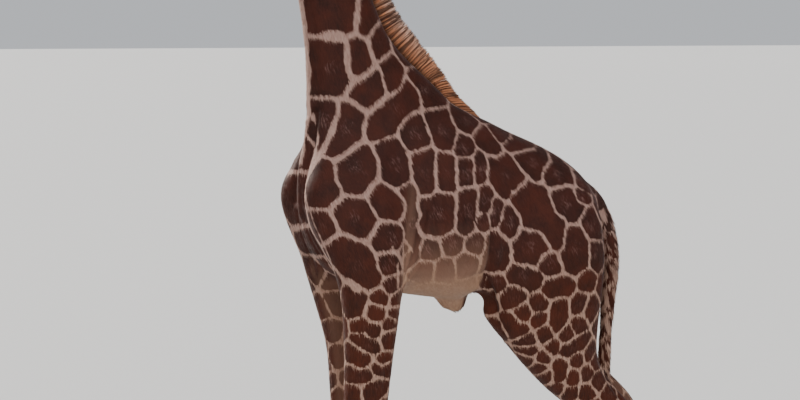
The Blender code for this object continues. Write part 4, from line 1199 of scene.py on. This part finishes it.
# Painted shade darkens the partings between clumps, and flecks of light hair 4 mm across stand for single
# hairs.
fleck = put(tree, "TexNoise", root, 260.0)
for source, low, high, most, colour in ((tone, 0.55, 0.20, 0.92, "#36130a"),
                                        (fleck, 0.4, 0.7, 0.3, "#e0a983")):
    share = put(tree, "MapRange", source, low, high, 0.0, most)
    mane = put(tree, "Mix", share, mane, linear(colour), data_type="RGBA")
put(tree, "OutputMaterial", put(tree, "BsdfPrincipled", links={
    "Base Color": mane, "Roughness": 0.5, "Specular IOR Level": 0.2, "Sheen Weight": 0.04,
    "Sheen Roughness": 0.35}))

# The crest: y and z of the mane's root, and the hair's height there.
MANE_ROWS = np.array([(0.340, 2.880, 0.010), (0.245, 2.935, 0.026), (0.130, 3.005, 0.058),
                      (0.005, 3.120, 0.106), (-0.155, 3.258, 0.145), (-0.270, 3.400, 0.135),
                      (-0.360, 3.600, 0.115), (-0.515, 3.900, 0.110), (-0.655, 4.200, 0.105),
                      (-0.755, 4.420, 0.100), (-0.840, 4.600, 0.090), (-0.905, 4.745, 0.055)])
NAPE_Y = -0.985         # where the nape lies in these rows
MANE_ROWS[:, 0] += head_root[1] - NAPE_Y
step = np.linalg.norm(np.diff(MANE_ROWS[:, :2], axis=0), axis=1)
reach = np.concatenate(([0], np.cumsum(step)))


def crest(at):
    """y, z and the hair's height at this distance along the crest, smoothed."""
    return [sum(np.interp(at + shift, reach, column) for shift in (-0.05, 0, 0.05)) / 3
            for column in MANE_ROWS.T]


count = 8900
at = reach[-1] * (np.arange(count) + random.random(count)) / count
# Partings darkened by painted shade and light clumps by turns, fine over the withers and broad above them.
parting = [0.0]
clump_tone = []
while parting[-1] < reach[-1] + 0.02:
    here = parting[-1]
    wide = random.uniform(0.010, 0.021) * np.interp(here, [0.50, 0.66], [0.42, 1.0])
    if len(clump_tone) % 2:
        wide *= np.interp(here, [0.60, 0.70, 0.95, 1.10], [1.0, 0.75, 0.75, 1.1])
        clump_tone.append(random.uniform(0.50, 0.95))
    else:
        wide *= np.interp(here, [0.60, 0.70, 0.95, 1.10], [1.05, 1.45, 1.45, 0.65])
        clump_tone.append(random.uniform(0.05, 0.30) + np.interp(here, [0.45, 0.66], [0.06, 0.0]))
    parting.append(here + wide)
parting = np.array(parting)
clump = np.clip(np.searchsorted(parting, at + 0.003 * np.sin(at * 31)) - 1, 0, len(clump_tone) - 1)
clump_tone = np.array(clump_tone)[clump]
clump_mid = ((parting[1:] + parting[:-1]) / 2)[clump]
clump_high = random.uniform(0.94, 1.0, len(parting) - 1)[clump]
clump_lean = random.normal(0.0, 0.020, len(parting) - 1)[clump]
y, z, height = crest(at)
sideways = random.uniform(-1, 1, count)
half_wide = 0.010 + 0.10 * height
foot = np.stack((sideways * half_wide, y, z), 1)
across = np.zeros(count)
before, after = crest(at - 0.03), crest(at + 0.03)
run = unit(np.stack((across, after[0] - before[0], after[1] - before[1]), 1))
upright = np.stack((across, run[:, 2], -run[:, 1]), 1)
upright[upright[:, 2] < 0] *= -1
root = np.array([nearest(skin_tree, point) for point in foot]) - upright * 0.004
tall = (height + np.sum((foot - root) * upright, axis=1)) * clump_high
tall *= (1 - 0.22 * np.abs(sideways) ** 2.5) * random.uniform(0.97, 1.0, count)
# The hair stands up the neck and lies back over the withers, and each clump gathers.
lean = np.interp(z, [2.88, 2.95, 3.02, 3.12, 3.25, 4.3], [-2.6, -1.7, -1.0, -0.35, -0.02, 0.08])
lean += clump_lean + random.normal(0, 0.03, count)
t = np.array([0, 0.36, 0.66, 0.90, 1.0])
backwards = ((clump_mid - at) * 0.10)[:, None] * t ** 2 + (lean * tall)[:, None] * t ** 1.4
wave = 0.005 * np.sin(at * 47 + clump_tone * 6)
astray = random.normal(0, 0.003, (count, 1))
outwards = (-0.25 * sideways * half_wide)[:, None] * t + wave[:, None] * t ** 2 + astray * t
path = (root[:, None] + upright[:, None] * (tall[:, None] * t)[..., None]
        + run[:, None] * backwards[..., None] + across_way * outwards[..., None])
width = random.uniform(0.0028, 0.0046, (count, 1)) * [1.0, 1.0, 0.95, 0.85]
turned = random.uniform(0, math.pi, count)[:, None]
tone = np.clip(clump_tone + random.normal(0, 0.07, count), 0, 1)
hair_piece("mane_hair", path, unit(np.cos(turned) * run + np.sin(turned) * across_way), width, width * 0.5,
           np.stack((0.02 + 0.96 * at / reach[-1], 0.5 + 0.45 * sideways), 1),
           {"tone": tone, "root": root}, mane_hair, "mane", "mane")


# The tail's tuft: smooth, glossy, black-brown hair half a metre long, hung from the end
# of the dock and browner at the tip.
tuft_hair, tree = new_material("long tail hair")
along, tone = (put(tree, "Attribute", out="Fac", attribute_name=name) for name in ("along", "tone"))
tuft = put(tree, "Mix", tone, linear("#120c0a"), linear("#33211a"), data_type="RGBA")
tuft = put(tree, "Mix", put(tree, "MapRange", along, 0.6, 1.0), tuft, linear("#3c271c"), data_type="RGBA")
put(tree, "OutputMaterial", put(tree, "BsdfPrincipled", links={
    "Base Color": tuft, "Roughness": 0.42, "Specular IOR Level": 0.5}))
DOCK_RADIUS = 0.026
tuft_low, tuft_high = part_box("tail_tuft")
dock_y = (tuft_low.y + tuft_high.y) / 2 - 0.006
count = 2300
turn = random.uniform(0, 2 * math.pi, count)
start = random.uniform(0, 1, count) ** 1.6
radial = np.stack((np.cos(turn), np.sin(turn), np.zeros(count)), 1)
within = np.sqrt(random.random(count))
out_from = DOCK_RADIUS * np.where(start < 0.05, within, 1.0)
root = np.stack((np.zeros(count), np.full(count, dock_y), tuft_high.z + 0.16 * start), 1)
root += radial * out_from[:, None]
ends_at = tuft_low.z + 0.006 + 0.20 * random.random(count) ** 1.5
bulge = 0.046 * within * random.uniform(0.7, 1.0, count)
t = np.linspace(0, 1, 8)
profile = np.sin(np.pi * np.clip(t * 1.02, 0, 1)) ** 0.8
outwards = (bulge - out_from)[:, None] * profile - 0.8 * out_from[:, None] * t ** 2
path = root[:, None] + radial[:, None] * outwards[..., None]
path += random.normal(0, 0.004, (count, 1, 3)) * (3 * t * (1 - t))[:, None]
path[..., 2] -= (root[:, 2] - ends_at)[:, None] * t
path[..., 1] += 0.012 * t ** 2
width = random.uniform(0.0022, 0.0038, (count, 1)) * [1.0, 1.0, 0.95, 0.85, 0.7, 0.5, 0.3]
hair_piece("tail_hair", path, unit(np.cross(radial, (0, 0, 1.0))), width, width * 0.5,
           0.02 + 0.96 * np.stack((turn / (2 * math.pi), within), 1),
           {"tone": random.random(count)}, tuft_hair, "tuft", "tail_tuft")


# The coat: flat tufts of short hair over the whole hide, each a thin closed sliver
# that starts in the skin and overlaps the next, so that the outline and the edges of
# the markings are made of hair. They lie back along the trunk and down neck and legs.

def lie_of_hair(points, facing):
    """Which way the hair lies at these points."""
    y, z = points[:, 1], points[:, 2]
    belly = ramp(y, -0.32, -0.16) * (1 - ramp(y, 0.10, 0.26))
    leg = ((1 - ramp(z, 1.75, 2.15)) * (1 - belly))[:, None]
    head = (ramp(on_head(points)[:, 1], -0.02, 0.10) * ramp(z, 4.1, 4.3))[:, None]
    way = np.array((0, 0.42, -0.90)) * (1 - leg) + np.array((0, 0.10, -1.0)) * leg
    return laid(way * (1 - head) - along_way * head, facing)


def tuft_length(points):
    """Longest on the trunk, shortest on the face and the feet."""
    z = points[:, 2]
    along = on_head(points)[:, 1]
    face = ramp(along, 0.0, 0.14) * ramp(z, 4.1, 4.3)
    length = (0.010 + 0.014 * ramp(z, 0.10, 1.6)) * (1 - face) + 0.0085 * face
    return length * (1 - 0.4 * ramp(along, 0.40, 0.62) * face)


def from_low(values):
    """Values carried to nearly 0 to 1, for a map."""
    return 0.01 + 0.98 * (values - values.min()) / (values.max() - values.min())


def middle_line(along, values, steps=24):
    """The middle of values in steps along a limb, read at each place."""
    low, high = along.min(), along.max()
    step = np.clip(((along - low) / (high - low) * steps).astype(int), 0, steps - 1)
    count = np.bincount(step, minlength=steps)
    middle = np.bincount(step, values, steps) / np.maximum(count, 1)
    places = low + (np.nonzero(count)[0] + 0.5) / steps * (high - low)
    return np.interp(along, places, middle[count > 0])


def unrolled(name, root):
    """Where each root lies on its piece's hide, unrolled like a tube: along, and round."""
    x, y, z = root.T
    if "head" in name:
        _, along, up = on_head(root).T
        turn = np.arctan2(up - middle_line(along, up), np.abs(x))
    elif "trunk" in name:
        along, turn = y, np.arctan2(z - 2.4, np.abs(x))
    elif "neck" in name:
        along, turn = z, np.arctan2(y - middle_line(z, y), np.abs(x))
    else:
        along, turn = z, np.arctan2(y - middle_line(z, y), x - middle_line(z, x))
    return np.stack((from_low(along), from_low(turn)), 1)


x, y, z = hide_points.T
skull = (on_head(hide_points)[:, 1] > -0.03) & (z > 4.15)
throat = (z > 2.92) & ~skull & (y < 0.30)
dock = (np.abs(x) < 0.052) & (y > 1.03) & (z < 2.32) & (z > 1.1)
fore = (z < 1.98) & (y < -0.10)
hind = (z < 1.80) & (y > 0.20) & ~dock
body = ~(skull | throat | dock | fore | hind)
coat_pieces = [(part + side, where & half, count)
               for part, where, count in (("head_", skull, 23000), ("neck_", throat, 24000),
                                          ("trunk_", body, 36000), ("foreleg_", fore, 17000),
                                          ("hind_leg_", hind, 19000))
               for side, half in (("left", x >= 0), ("right", x < 0))]
coat_pieces.append(("tail", dock, 4000))
ROOT_DEPTH = 0.0007     # how far the roots lie under the skin
chance = (hide["bare"] < 0.4) / tuft_length(hide_points) ** 1.5
for name, where, count in coat_pieces:
    corners, share = scattered(skin.data, chance * where, count)
    root = carried(hide_points, corners, share)
    out = unit(carried(hide_facing, corners, share))
    way = laid(lie_of_hair(root, out) + random.normal(0, 0.13, root.shape), out)
    side = np.cross(out, way)
    length = tuft_length(root) * random.uniform(0.75, 1.2, count)
    if name == "tail":
        length *= 1.5 + 0.9 * ramp(out[:, 1], 0.0, 0.8)
    width = length * random.uniform(0.14, 0.20, count)
    lift = length * random.uniform(0.03, 0.10, count) * (2.6 if name == "tail" else 1.0)
    path = np.stack((root - out * ROOT_DEPTH, root + way * length[:, None] + out * lift[:, None]), 1)
    rooted = {key: carried(values, corners, share) for key, values in hide.items()}
    piece = hair_piece("coat_" + name, path, side, width[:, None], 0.0007 + 0.30 * width[:, None],
                       unrolled(name, root), {**rooted, "root": root}, coat_hair, "coat")
    # The slivers are shaded nearly as the skin is, so that they read as one sleek coat.
    bend = 0.20 if "head" in name else 0.45
    bent = np.stack((unit(out + side * bend), unit(out - side * bend), out, unit(out + way * 0.2)), 1)
    piece.data.normals_split_custom_set_from_vertices(bent.reshape(-1, 3))

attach(skin, "root")
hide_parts(*SKIN_NODES)
